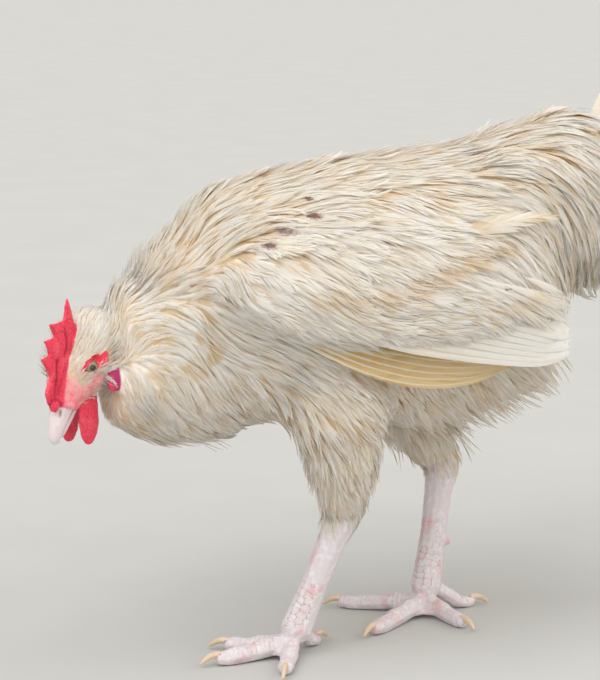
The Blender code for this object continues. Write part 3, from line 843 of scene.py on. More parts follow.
# The same for the head, in its own directions: side, ahead, left, above, then the direction in the same terms
HEAD_LIE = (
    (BOTH, 2, 12, 14, -0.9, 0.3, 0.1, 7, 0.65, 1.44, 0.9, BRISTLE),
    (BOTH, 0, 15, 9, -0.9, 0.35, -0.1, 7, 0.65, 1.44, 0.6, BRISTLE),
    (BOTH, 10, 12, 10, -0.85, 0.3, 0.1, 6, 0.58, 1.44, 0.6, BRISTLE),
    (RIGHT, 10, 12, 10, -0.1, 0.95, 0.4, 14, 1.2, 1.15, 12, BRISTLE),
    (RIGHT, 0, 14, 12, -0.2, 0.95, 0.4, 15, 1.2, 1.15, 12, BRISTLE),
    (RIGHT, -12, 20, 3, -0.5, 0.8, 0.1, 14, 0.9, 1.6, 9, BRISTLE),
    (BOTH, -14, 13, 17, -0.95, 0.15, 0.15, 11, 0.86, 1.68, 0.8, BRISTLE),
    (BOTH, -16, 4, 20, -0.9, 0.1, 0.4, 13, 0.94, 1.68, 2, BRISTLE),
    (BOTH, -12, 20, 3, -0.95, 0.15, -0.25, 9, 0.79, 1.6, 0.6, BRISTLE),
    (BOTH, -8, 21, -8, -0.6, 0.15, -0.75, 8, 0.79, 1.52, 0.7, BRISTLE),
    (BOTH, -16, 22, -14, -0.8, 0.1, -0.6, 10, 0.94, 1.76, 0.7, BRISTLE),
    (BOTH, -30, 21, 4, -0.95, 0.1, 0.05, 15, 1.44, 2.21, 0.5, HACKLE),
    (BOTH, -30, 22, -12, -0.95, 0.1, -0.3, 15, 1.44, 2.21, 0.5, HACKLE),
    (BOTH, -34, 5, 17, -0.95, 0.05, 0.3, 17, 1.62, 2.38, 0.9, HACKLE),
    (BOTH, 0, 12, -26, -0.5, 0.1, -0.85, 10, 1.17, 1.87, 0.8, HACKLE),
    (BOTH, 6, 22, -30, -0.35, 0.1, -0.93, 14, 1.44, 2.04, 0.6, HACKLE),
)


def lie_table():
    """The rows for both sides of the bird: places, directions, sizes and kinds."""
    rows = []
    for side, ahead, left, above, way_ahead, way_left, way_above, *rest in HEAD_LIE:
        for flip in (1, -1):
            if side in (BOTH, flip):
                place = from_head((ahead, left * flip, above)) / MM
                way = np.array((way_ahead, way_left * flip, way_above)) @ HEAD_AXES
                rows.append((*place, *way, *rest))
    for side, x, y, z, dx, dy, dz, *rest in LIE:
        for flip in (1, -1):
            if side in (BOTH, flip):
                rows.append((x * flip, y, z, dx * flip, dy, dz, *rest))
    table = np.array(rows, float)
    long = table[:, 6] > LONG_FROM
    table[long, 7:9] *= BROADER
    table[long & (table[:, 1] < NECK_BEFORE), 7:9] *= NECK_FINER
    way = table[:, 3:6] / np.linalg.norm(table[:, 3:6], axis=1)[:, None]
    return table[:, :3], way, table[:, 6:10], table[:, 10].astype(int)


LIE_PLACES, LIE_WAYS, LIE_SIZES, LIE_KINDS = lie_table()


def lie_at(points):
    """Direction, sizes and kind of the feathers at these points, blended from the rows of the table nearby."""
    away = ((points[:, None, :] / MM - LIE_PLACES[None]) ** 2).sum(2)
    weight = 1 / (away + 40) ** 2
    weight /= weight.sum(1)[:, None]
    return weight @ LIE_WAYS, weight @ LIE_SIZES, LIE_KINDS[away.argmin(1)]


print("the lie is told at", len(LIE_PLACES), "places")

# %% [markdown]
# The roots are scattered by throwing darts: a place is kept only if no kept place is nearer than the spacing of
# the feathers there. That gives an even, natural cover with no rows, and the seed makes it the same each time.

# %% Scatter the roots
rng = np.random.default_rng(11)
ROOT_TRIES = 150_000


def tree_of(points):
    tree = kdtree.KDTree(len(points))
    for i, point in enumerate(points):
        tree.insert(point, i)
    tree.balance()
    return tree


def scattered(points, spacing):
    """Indices of points no nearer to each other than their spacing, which is one number or one for each."""
    tree = tree_of(points)
    spacing = np.broadcast_to(spacing, len(points))
    free = np.ones(len(points), bool)
    kept = []
    for i, point in enumerate(points):
        if free[i]:
            kept.append(i)
            for _, j, _ in tree.find_range(point, spacing[i]):
                free[j] = False
    return np.array(kept)


def plumage_roots(mesh):
    points = points_of(mesh)
    tries = rng.permutation(len(points))[:ROOT_TRIES]
    tries = tries[feathered_share(points[tries]) > rng.uniform(0.4, 0.6, len(tries))]
    _, sizes, _ = lie_at(points[tries])
    kept = tries[scattered(points[tries], sizes[:, 2] * MM)]
    return points[kept]


ROOTS = plumage_roots(skin_mesh)
print("roots:", len(ROOTS))

# %% [markdown]
# A feather is led along the skin from its root in short steps. At each step it takes the direction of the lie
# there, and it is set at a height over the skin that grows towards the tip, so that the tips overlap the roots
# behind them like tiles. A coarse copy of the skin is enough to walk on, and it is also unwrapped, so that
# each feather knows its place on a flat map of the skin.

# %% Lead feathers along the skin
WALK_VOXEL = 2.5 * MM
STEPS = 6


def unwrapped(mesh):
    """The mesh cut into triangles, with a flat map of its own shape."""
    helper = linked("unwrap", mesh)
    bpy.context.view_layer.objects.active = helper
    helper.select_set(True)
    bpy.ops.object.mode_set(mode="EDIT")
    bpy.ops.mesh.select_all(action="SELECT")
    bpy.ops.mesh.quads_convert_to_tris()
    bpy.ops.uv.smart_project(angle_limit=math.radians(66), island_margin=0.004)
    bpy.ops.object.mode_set(mode="OBJECT")
    bpy.data.objects.remove(helper)
    return mesh


walk_mesh = unwrapped(with_modifier(skin_mesh.copy(), "REMESH", mode="VOXEL", voxel_size=WALK_VOXEL))
WALK_POINTS = points_of(walk_mesh)
WALK_FACES = np.array([face.vertices[:] for face in walk_mesh.polygons])
WALK_MAP = np.empty(len(walk_mesh.loops) * 2, np.float32)
walk_mesh.uv_layers.active.uv.foreach_get("vector", WALK_MAP)
WALK_MAP = WALK_MAP.reshape(-1, 3, 2)
WALK_NORMALS = normals_of(walk_mesh)
walk_tree = BVHTree.FromPolygons(WALK_POINTS.tolist(), WALK_FACES.tolist())


def onto_skin(points):
    """For each point: the nearest place on the walking skin, the smooth normal there and its place on the map."""
    found = [walk_tree.find_nearest(point) for point in points.tolist()]
    near = np.array([one[0] for one in found])
    face = np.array([one[2] for one in found])
    corners = WALK_POINTS[WALK_FACES[face]]
    a, b, c = corners[:, 0], corners[:, 1], corners[:, 2]
    area = np.linalg.norm(np.cross(b - a, c - a), axis=1) + 1e-15
    edges = ((b, c), (c, a), (a, b))
    share = [np.linalg.norm(np.cross(end - start, near - start), axis=1) / area for start, end in edges]
    share = np.stack(share, 1)
    normal = (WALK_NORMALS[WALK_FACES[face]] * share[:, :, None]).sum(1)
    normal /= np.linalg.norm(normal, axis=1)[:, None]
    return near, normal, (WALK_MAP[face] * share[:, :, None]).sum(1)


def dots(a, b):
    return (a * b).sum(-1)[..., None]


SWAY_WAVES = rng.normal(0, 1, (9, 3)) * np.repeat((90, 150, 260), 3)[:, None]
SWAY_STARTS = rng.uniform(0, 6.28, 9)
SWAY_WEIGHTS = np.repeat((0.22, 0.18, 0.16), 3)
ROOT_LIFT = 0.3
PROBE_LIFT = 5
LEAN = 0.22
KEEP_ON = 1.5


def sway(points, start=0):
    """A smooth wandering value from about -1 to 1, alike for neighbours, so that feathers lean in clumps."""
    waves = np.sin(points @ SWAY_WAVES.T + SWAY_STARTS + start)
    return waves @ SWAY_WEIGHTS


def led(roots, length, rise, stand, turn, loose, aims=None):
    """Paths over the skin: points and normals at each step, and each root's place on the map.

    Rise is the share of the coat's depth that the tip climbs, stand is how far it stands off beyond that, in
    millimetres, turn leans it aside, and loose lets it leave the skin. Aims takes the place of the lie.
    """
    near, normal, place = onto_skin(roots)
    depth = coat_depth(roots + normal * PROBE_LIFT * MM)
    here = near + normal * ROOT_LIFT * MM
    way = None
    paths, normals = [here], [normal]
    for step in range(1, STEPS + 1):
        share = step / STEPS
        aim = unit(lie_at(here)[0]) if aims is None else aims
        flat = unit(aim - normal * dots(aim, normal))
        across = np.cross(normal, flat)
        lean = turn + LEAN * sway(here)
        flat = unit(flat + across * lean[:, None])
        out = np.clip(dots(aim, normal), 0, 1) * loose[:, None]
        go = unit(flat + normal * out)
        way = go if way is None else unit(way + go * KEEP_ON)
        here = here + way * (length / STEPS)[:, None]
        near, fresh, _ = onto_skin(here)
        height = dots(here - near, fresh)
        wanted = (depth * rise * share**0.8 + stand * MM * share**2)[:, None]
        pull = np.where(height > wanted, 1 - loose[:, None], 1.0)
        inside = height < 0
        here = np.where(inside, near + fresh * wanted, here + fresh * (wanted - height) * pull)
        normal = unit(normal + fresh)
        paths.append(here)
        normals.append(normal)
    return np.stack(paths, 1), np.stack(normals, 1), place


print("walking skin:", len(WALK_POINTS), "points")

# %% [markdown]
# A feather is a shaft with barbs on both sides, and on this silky bird the barbs cling together in fine pointed
# locks. So each plan is drawn flat once: a narrow shaft, and on each side a row of locks that leave it at a low
# angle and end on the outline. The plans are then laid along every path at once with arrays, which takes
# seconds where a modifier on each feather would take minutes.

# %% Draw the flat plans
RIBS = 5
SHAFT_WIDE, SHAFT_TIP, SHAFT_TONE = 0.055, 0.012, -1.0
FIRST_LOCK, LOCKS_SPAN = 0.03, 0.86
LOCK_THICK = 0.52
LOCK_TAPER = (1, 0.95, 0.75)


class Plan:
    """A flat feather: for each corner its place along and across, its lift in millimetres and its tone."""

    def __init__(self):
        self.rows = []
        self.faces = []

    def strip(self, stations, tone):
        """A ribbon through stations of along, across, half its breadth along, half its breadth across, lift and
        shade, closed to a point. Shade goes from 0 at the shaft to 1 at the outline."""
        before = None
        for along, across, half_along, half_across, lift, shade in stations:
            first = len(self.rows)
            if half_along == 0 and half_across == 0:
                self.rows.append((along, across, lift, tone, shade))
                self.faces.append((before[0], before[1], first))
                return
            self.rows.append((along - half_along, across - half_across, lift, tone, shade))
            self.rows.append((along + half_along, across + half_across, lift, tone, shade))
            if before:
                self.faces.append((before[0], before[1], first))
                self.faces.append((before[1], first + 1, first))
            before = (first, first + 1)

    def arrays(self):
        rows = np.array(self.rows)
        faces = np.array(self.faces)
        along, across = rows[:, 0][faces], rows[:, 1][faces]
        turn = np.cross(
            np.stack((across[:, 1] - across[:, 0], along[:, 1] - along[:, 0]), 1),
            np.stack((across[:, 2] - across[:, 0], along[:, 2] - along[:, 0]), 1),
        )
        faces[turn < 0] = faces[turn < 0][:, ::-1]
        return rows, faces


def outline(along, widest, bluntness):
    """Half the width of a vane at a place along it, as a share of its widest."""
    along = np.clip(along, 0, 1)
    inner = ease(along, -0.35 * widest, widest)
    outer = (1 - np.clip((along - widest) / (1 - widest), 0, 1) ** bluntness) ** 0.9
    return float(np.where(along < widest, inner, outer))


def drawn(locks, widest, bluntness, reach, seed, bends=1):
    """A plan with this many locks on each side. Reach is how far along the feather the first lock runs."""
    draw = np.random.default_rng(seed)
    plan = Plan()
    shaft = [(i / RIBS, 0.0, 0.0, SHAFT_WIDE * (1 - 0.8 * i / RIBS) + SHAFT_TIP, 0.25, 0.5) for i in range(RIBS)]
    plan.strip(shaft + [(1.0, 0, 0, 0, 0.2, 0.5)], SHAFT_TONE)
    for side in (-1, 1):
        for i in range(locks):
            start = FIRST_LOCK + LOCKS_SPAN * (i + draw.uniform(-0.3, 0.3)) / locks
            start = max(start, 0.0)
            run = reach * (1 - 0.55 * start) * draw.uniform(0.85, 1.2)
            end = min(start + run, 1.0 + 0.02 * draw.uniform(-1, 1))
            wide = outline(end * 0.96, widest, bluntness) * draw.uniform(0.82, 1.12)
            thick = LOCK_THICK * (LOCKS_SPAN / locks) * draw.uniform(1.5, 2.2)
            tone = draw.uniform(0.1, 0.7)
            lift = draw.uniform(-0.12, 0.12)
            stations = []
            for k in range(bends + 2):
                t = k / (bends + 1)
                along = start + (end - start) * t
                across = side * wide * t**0.85
                half = 0 if k == bends + 1 else thick * LOCK_TAPER[min(k, 2)]
                stations.append((along, across, half, 0, lift * (0.3 + t) + 0.12 * t, t))
            plan.strip(stations, tone)
    return plan.arrays()


def variants(count, first_seed, *form, bends=2):
    """This many plans of one form: locks, widest, bluntness and reach. Each has a seed of its own."""
    return [drawn(*form, first_seed + i, bends) for i in range(count)]


PLANS = {
    BRISTLE: variants(4, 0, 3, 0.45, 1.3, 0.55, bends=1),
    HACKLE: variants(6, 10, 10, 0.34, 1.2, 0.66),
    COVERT: variants(6, 20, 11, 0.55, 1.7, 0.56),
    FLUFF: variants(6, 30, 9, 0.50, 1.5, 0.60),
    LOCK: variants(6, 40, 9, 0.38, 1.1, 0.70),
}
for kind, plans in PLANS.items():
    print(KINDS[kind], "plan:", len(plans[0][1]), "triangles")

# %% [markdown]
# To lay a plan along a path, each of its corners takes a smooth blend of the path's points, given by the
# weights of a cubic spline. The corner then moves sideways by its place across, and the vane is arched a
# little, because a real one is. Each feather also gets a patch of the flat map at its root.

# %% Lay the plans along the paths
MAP_PATCH = 0.003
UPRIGHT = 0.7
BEND = 0.55


def spline_weights(along, count):
    """How much each of count path points counts at these places from 0 to 1."""
    weights = np.zeros((len(along), count))
    at = np.clip(along, 0, 1.03) * (count - 1)
    first = np.clip(np.floor(at).astype(int), 0, count - 2)
    t = at - first
    rows = np.arange(len(along))
    basis = (
        (-1, 0.5 * (-t + 2 * t**2 - t**3)),
        (0, 0.5 * (2 - 5 * t**2 + 3 * t**3)),
        (1, 0.5 * (t + 4 * t**2 - 3 * t**3)),
        (2, 0.5 * (-(t**2) + t**3)),
    )
    for offset, share in basis:
        index = first + offset
        np.add.at(weights, (rows, np.clip(index, 0, count - 1)), share)
        low = index < 0
        high = index > count - 1
        np.add.at(weights, (rows[low], 0), share[low])
        np.add.at(weights, (rows[low], 1), -share[low])
        np.add.at(weights, (rows[high], count - 1), share[high])
        np.add.at(weights, (rows[high], count - 2), -share[high])
    return weights


class Coat:
    """Collects feathers, and turns them into one mesh."""

    def __init__(self):
        self.parts = []
        self.count = 0

    def add(self, plan, paths, normals, half_width, places, arch=0.25, light=0.0, mirrored=False):
        """Lays one plan along many paths. Light moves the tone of each feather. The shading normals keep a part
        of the lean of the path, and each face is wound so that it looks the way they point."""
        rows, faces = plan
        if mirrored:
            rows, faces = rows * (1, -1, 1, 1, 1), faces[:, ::-1]
        along, across, lift, tone, shade = rows.T
        weights = spline_weights(along, paths.shape[1])
        points = np.einsum("vk,nkc->nvc", weights, paths)
        normal = unit(np.einsum("vk,nkc->nvc", weights, normals))
        way = unit(np.einsum("vk,nkc->nvc", weights, np.gradient(paths, axis=1)))
        normal = unit(normal - UPRIGHT * way * dots(way, normal))
        side = unit(np.cross(way, normal))
        wide = half_width[:, None] * across
        points = points + side * (wide * MM)[..., None]
        drop = lift - arch * np.abs(wide) * np.abs(across)
        points = points + normal * (drop * MM)[..., None]
        bent = unit(normal + side * (across * BEND)[None, :, None])
        tones = np.clip(tone + np.asarray(light)[..., None] * (tone >= 0), -1, 1.5)
        patch = np.stack((across * 0.5, along - 0.5), 1) * MAP_PATCH
        maps = places[:, None, :] + patch[None]
        corners = points[:, faces]
        facing = np.cross(corners[:, :, 1] - corners[:, :, 0], corners[:, :, 2] - corners[:, :, 0])
        away = (facing * bent[:, faces].mean(2)).sum(-1) < 0
        faces = np.where(away[..., None], faces[None, :, ::-1], faces[None])
        triangles = faces + (np.arange(len(paths)) * len(rows))[:, None, None]
        values = [np.broadcast_to(value, points.shape[:2]) for value in (tones, shade, along)]
        arrays = (points, bent, maps, *values, triangles + self.count)
        self.parts.append([array.reshape(-1, *array.shape[2:]) for array in arrays])
        self.count += points.shape[0] * points.shape[1]

    def add_mixed(self, plans, which, here, paths, normals, half_width, places, arch, light):
        """Lays the feathers that are here, each with the plan that it is given by its number."""
        for number, plan in enumerate(plans):
            chosen = np.flatnonzero(here & (which == number))
            if len(chosen):
                laid = [value[chosen] for value in (paths, normals, half_width, places)]
                self.add(plan, *laid, arch, light[chosen])

    def made(self, name, material):
        joined = [np.concatenate(kind) for kind in zip(*self.parts)]
        points, normals, maps, tones, shades, alongs, triangles = joined
        values = {"tone": tones, "outer": shades, "along": alongs}
        return array_object(name, points, triangles, material, normals, maps, values)


def set_values(mesh, values):
    """Gives the points of the mesh these named values, which its material reads, and shades it smooth."""
    for key, value in values.items():
        mesh.attributes.new(key, "FLOAT", "POINT").data.foreach_set("value", value.astype(np.float32).ravel())
    mesh.polygons.foreach_set("use_smooth", np.ones(len(mesh.polygons), bool))


def seated(made, slot, *nodes):
    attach(made, "root")
    if nodes:
        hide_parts(*nodes)
    return made


def array_object(name, points, triangles, material, normals, maps, values):
    """An object from arrays, with its shading normals, its map and its named values."""
    mesh = bpy.data.meshes.new(name)
    mesh.vertices.add(len(points))
    mesh.vertices.foreach_set("co", np.ascontiguousarray(points, np.float32).ravel())
    mesh.loops.add(triangles.size)
    mesh.loops.foreach_set("vertex_index", np.ascontiguousarray(triangles, np.int32).ravel())
    mesh.polygons.add(len(triangles))
    mesh.polygons.foreach_set("loop_start", np.arange(0, triangles.size, 3, dtype=np.int32))
    mesh.update(calc_edges=True)
    layer = mesh.uv_layers.new(name="OFBake")
    layer.uv.foreach_set("vector", maps[triangles.ravel()].astype(np.float32).ravel())
    set_values(mesh, values)
    mesh.normals_split_custom_set_from_vertices(normals.tolist())
    mesh.materials.append(material)
    return linked(name, mesh)

# %% [markdown]
# The plumage is white with a straw tint. The tint sits in the shafts and in some locks, and towards the roots and
# shafts of the locks it is partly real staining and partly painted shade, the warm shade deep in the coat. Whole
# patches of the bird are yellower where it has lain in the dust, and low on the breast and thigh with painted
# warm shade. The colour is built from the numbers that each feather carries, and from noise and marks in the
# space of the bird. Every feather and the skin below read the same marks, so that a mark runs on from one to
# the next.

# %% Finish of the plumage
def feed(tree, socket, value):
    """Links the socket to another one, or sets it to a value."""
    if isinstance(value, bpy.types.NodeSocket):
        tree.links.new(value, socket)
    else:
        socket.default_value = value


def math_node(tree, kind, operation, one, other):
    """The outputs of a node that works out one thing from two."""
    node = tree.nodes.new(kind)
    node.operation = operation
    feed(tree, node.inputs[0], one)
    feed(tree, node.inputs[1], other)
    return node.outputs


def blend(tree, low, high, factor):
    """A colour mix node: low and high are colours or sockets, and factor a socket or a number."""
    node = tree.nodes.new("ShaderNodeMix")
    node.data_type = "RGBA"
    for socket, value in ((node.inputs[6], low), (node.inputs[7], high), (node.inputs[0], factor)):
        feed(tree, socket, (*value, 1) if isinstance(value, tuple) else value)
    return node.outputs[2]


def ranged(tree, value, low, high, to_low=0.0, to_high=1.0):
    """The value led smoothly from the range low to high onto the range to_low to to_high."""
    node = tree.nodes.new("ShaderNodeMapRange")
    node.interpolation_type = "SMOOTHSTEP"
    tree.links.new(value, node.inputs["Value"])
    for key, number in zip(("From Min", "From Max", "To Min", "To Max"), (low, high, to_low, to_high)):
        node.inputs[key].default_value = number
    return node.outputs["Result"]


def named_value(tree, name):
    node = tree.nodes.new("ShaderNodeAttribute")
    node.attribute_name = name
    return node.outputs["Fac"]


def noise(tree, scale, detail=2.0, roughness=0.5):
    place = tree.nodes.new("ShaderNodeTexCoord")
    node = tree.nodes.new("ShaderNodeTexNoise")
    for key, number in zip(("Scale", "Detail", "Roughness"), (scale, detail, roughness)):
        node.inputs[key].default_value = number
    tree.links.new(place.outputs["Object"], node.inputs["Vector"])
    return node.outputs["Fac"]


# Marks that lie at fixed places: x, y, z and size in millimetres. The squash says how much each direction counts.
# Specks are dirt. The golden marks are painted shade: the shade that the scapular tips cast along their lower
# edge. Snowy places are the whitest. All of them lie on the left side.
SPECKS = (
    (55, -102, 309, 2.2),
    (76, -129, 302, 3.4),
    (71, -145, 300, 2.4),
    (78, -142, 294, 2.4),
    (46, -101, 319, 1.4),
    (85, 26, 256, 1.2),
)
SPECK_SQUASH = (0.2, 0.4, 1.2)
SPECK_BROWN = (0.22, 0.04, 0.035)
SCAPULAR_SHADE_MARKS = (
    (96, -108, 258, 6),
    (97, -88, 255, 6),
    (97, -66, 256, 7),
    (94, -42, 262, 7),
    (90, -18, 269, 7),
    (82, 6, 275, 7),
    (73, 32, 280, 7),
)
SNOWY = (
    (78, 42, 262, 15),
    (86, 18, 256, 13),
    (94, -16, 250, 10),
    (40, -195, 215, 30),
    (60, -165, 235, 24),
    (8, -226, 252, 26),
    (34, -206, 246, 28),
)
SOFT_SQUASH = (0.4, 0.45, 1.0)
SHADE_GOLD = (0.76, 0.55, 0.30)


def marked(tree, colour, marks, squash, colour_of_mark, strength, broken):
    """The colour with these marks on it. Their edges wander by the number of millimetres in broken."""
    here = tree.nodes.new("ShaderNodeTexCoord").outputs["Object"]
    place = math_node(tree, "ShaderNodeVectorMath", "MULTIPLY", here, squash)["Vector"]
    uneven = ranged(tree, noise(tree, 420, 2), 0.3, 0.7, broken * MM, -broken * MM)
    for x, y, z, size in marks:
        middle = (x * MM * squash[0], y * MM * squash[1], z * MM * squash[2])
        away = math_node(tree, "ShaderNodeVectorMath", "DISTANCE", place, middle)["Value"]
        away = math_node(tree, "ShaderNodeMath", "ADD", away, uneven)["Value"]
        near = ranged(tree, away, 0.5 * size * MM, 1.3 * size * MM, strength, 0.0)
        colour = blend(tree, colour, colour_of_mark, near)
    return colour


def specked(tree, colour):
    return marked(tree, colour, SPECKS, SPECK_SQUASH, SPECK_BROWN, 0.85, 0.5)


WHITE = (0.93, 0.932, 0.915)
CREAM = (0.92, 0.895, 0.84)
STRAW = (0.80, 0.63, 0.40)
SOFT_SURFACE = {"Roughness": 0.62, "Sheen Weight": 0.25, "Sheen Roughness": 0.4, "Specular IOR Level": 0.35}
THROUGH_SHARE, THROUGH_STRAW = 0.42, 0.28


def plumage_finish(name, white=WHITE, cream=CREAM, straw=STRAW, ridge=None):
    """White locks with cream and straw in them, and some light let through. Ridge is the colour of the shafts."""
    material, tree, surface = new_material(name, SOFT_SURFACE)
    tone, outer, along = (named_value(tree, key) for key in ("tone", "outer", "along"))
    patches = ranged(tree, noise(tree, 34, 3), 0.42, 0.66)
    lock = blend(tree, white, cream, ranged(tree, tone, 0.45, 0.95))
    lock = blend(tree, lock, straw, ranged(tree, tone, 0.86, 1.25))
    # Towards root and shaft the locks turn straw: partly staining, partly painted warm shade deep in the coat.
    stained_and_shaded = blend(tree, cream, straw, ranged(tree, tone, 0.0, 0.55, 0.12, 1.0))
    deep = blend(tree, stained_and_shaded, cream, ranged(tree, along, 0.25, 0.62))
    # Painted shade: the golden marks darken the roots of the locks most and their tips less, below the scapulars.
    deep = marked(tree, deep, SCAPULAR_SHADE_MARKS, SOFT_SQUASH, SHADE_GOLD, 0.8, 2)
    lock = marked(tree, lock, SCAPULAR_SHADE_MARKS, SOFT_SQUASH, SHADE_GOLD, 0.35, 2)
    edge = blend(tree, deep, lock, ranged(tree, along, 0.35, 0.85))
    edge = blend(tree, deep, edge, ranged(tree, outer, 0.0, 0.35))
    tinted = blend(tree, edge, blend(tree, edge, cream, 0.5), patches)
    tinted = marked(tree, tinted, SNOWY, SOFT_SQUASH, white, 0.7, 2)
    shaft = blend(tree, cream, straw, ranged(tree, noise(tree, 60, 1), 0.4, 0.6))
    colour = blend(tree, ridge or shaft, tinted, ranged(tree, tone, -0.6, -0.4))
    colour = specked(tree, colour)
    tree.links.new(colour, surface.inputs["Base Color"])
    through = tree.nodes.new("ShaderNodeBsdfTranslucent")
    tree.links.new(blend(tree, colour, straw, THROUGH_STRAW), through.inputs["Color"])
    both = tree.nodes.new("ShaderNodeMixShader")
    both.inputs["Fac"].default_value = THROUGH_SHARE
    tree.links.new(surface.outputs["BSDF"], both.inputs[1])
    tree.links.new(through.outputs["BSDF"], both.inputs[2])
    tree.links.new(both.outputs["Shader"], tree.nodes["Material Output"].inputs["Surface"])
    return material


plumage = plumage_finish("plumage")

# %% [markdown]
# Now the coat itself. The roots are sorted into regions, one object for each, so that each can be looked at
# and edited alone and none grows too heavy.

# %% Feather the body
def region_of(points):
    """The name of the region of each root. A later line takes roots from the ones before it."""
    x, y, z = points.T
    near_head = np.linalg.norm(in_head(points), axis=1) < 48
    names = np.full(len(points), "breast", object)
    names[(z > 0.222) & (np.abs(x) > 0.052)] = "wing"
    names[(z > 0.285) & (y > -0.16)] = "back"
    names[(y > 0.045) & (z > 0.235)] = "saddle"
    names[(z <= 0.222) & (y > -0.12)] = "belly"
    names[(z < 0.18) & (np.abs(x) > 0.012) & (y < 0.0) & (y > -0.125)] = "thigh"
    names[z < 0.16] = "thigh"
    names[y < -0.158] = "neck"
    names[near_head] = "crown"
    return names


# x, y, z, reach and how much yellower the feathers rooted there are; less than 0 is whiter
# Yellower rows are partly staining; the row low on the breast and thigh is partly painted warm shade.
TINTS = (
    (0, -185, 270, 55, -0.35),
    (40, -200, 225, 50, -0.45),
    (55, -165, 240, 40, -0.3),
    (94, -20, 252, 20, -0.5),
    (82, 24, 258, 24, -0.6),
    (40, 80, 325, 60, 0.30),
    (80, -20, 300, 34, 0.25),
    (45, 20, 190, 50, 0.25),
    (0, -60, 345, 60, 0.10),
    (60, -100, 175, 55, 0.2),
)


def tint_at(points):
    tint = np.zeros(len(points))
    for x, y, z, reach, amount in TINTS:
        away = np.linalg.norm(folded(points) - (x, y, z), axis=1)
        tint += amount * hump(away, 0, reach)
    return tint


CLUMP_SPACING = 14
CLUMP_GAP = 0.25


def clumped(paths, normals, roots, spacing, pull):
    """Draws the ends of neighbouring feathers together towards one leader, so that they form pointed locks. A
    leader on a skin that faces elsewhere pulls less."""
    order = rng.permutation(len(roots))
    leaders = order[scattered(roots[order], spacing * MM)]
    tree = tree_of(roots[leaders])
    leader = leaders[np.array([tree.find(point)[1] for point in roots])]
    share = np.linspace(0, 1, paths.shape[1])[None, :, None] ** 1.4
    offset = roots[leader] - roots
    toward_leader = paths[leader] - paths - CLUMP_GAP * offset[:, None, :]
    toward_leader = toward_leader - normals * dots(toward_leader, normals)
    alike = ease(dots(normals[leader], normals), 0.5, 0.9)
    toward_leader = toward_leader * alike
    return paths + toward_leader * share * (pull * rng.uniform(0.6, 1.15, len(roots)))[:, None, None]


def on_side(points, sign):
    return np.sign(points[:, 0] + 1e-9) == sign


def feather_body():
    _, sizes, kinds = lie_at(ROOTS)
    count = len(ROOTS)
    length = sizes[:, 0] * MM * rng.uniform(0.8, 1.2, count)
    width = sizes[:, 1] * rng.uniform(0.95, 1.4, count)
    stand = sizes[:, 3] * rng.uniform(0.2, 1.6, count)
    turn = rng.normal(0, 0.10, count)
    loose = np.clip((sizes[:, 3] - 0.9) / 3.0, 0.05, 0.85)
    paths, normals, places = led(ROOTS, length, rng.uniform(0.85, 1.1, count), stand, turn, loose)
    pull = 0.65 * ease(length / MM, 14, 30)
    paths = clumped(paths, normals, ROOTS, CLUMP_SPACING, pull)
    light = 0.25 * sway(ROOTS, 2.0) + rng.normal(0, 0.2, count) + tint_at(ROOTS)
    variant = rng.integers(0, 6, count)
    regions = region_of(ROOTS)
    made = {}
    for region in sorted(set(regions)):
        for side, sign in SIDES.items():
            coat = Coat()
            here = (regions == region) & on_side(ROOTS, sign)
            for kind, plans in PLANS.items():
                of_kind = here & (kinds == kind)
                coat.add_mixed(plans, variant % len(plans), of_kind, paths, normals, width, places, 0.22, light)
            if coat.parts:
                name = "coat_" + region + "_" + side
                made[name] = seated(coat.made(name, plumage), "plumage")
    return made


coats = feather_body()

# %% [markdown]
# Over this even coat lie the feathers that one sees singly: the broad scapulars with white tips and golden bases,
# whose gold is partly painted shade, the long strands that droop from the saddle, the loose locks of the breast
# and thigh, and the spiky fringe of the belly. Each zone says where they root and what they are like.

# %% Lay the larger feathers over the coat
EDGE_LINE = ((93, -115, 275), (92, -92, 278), (88, -68, 286), (83, -43, 291), (74, -17, 294), (66, 8, 299))
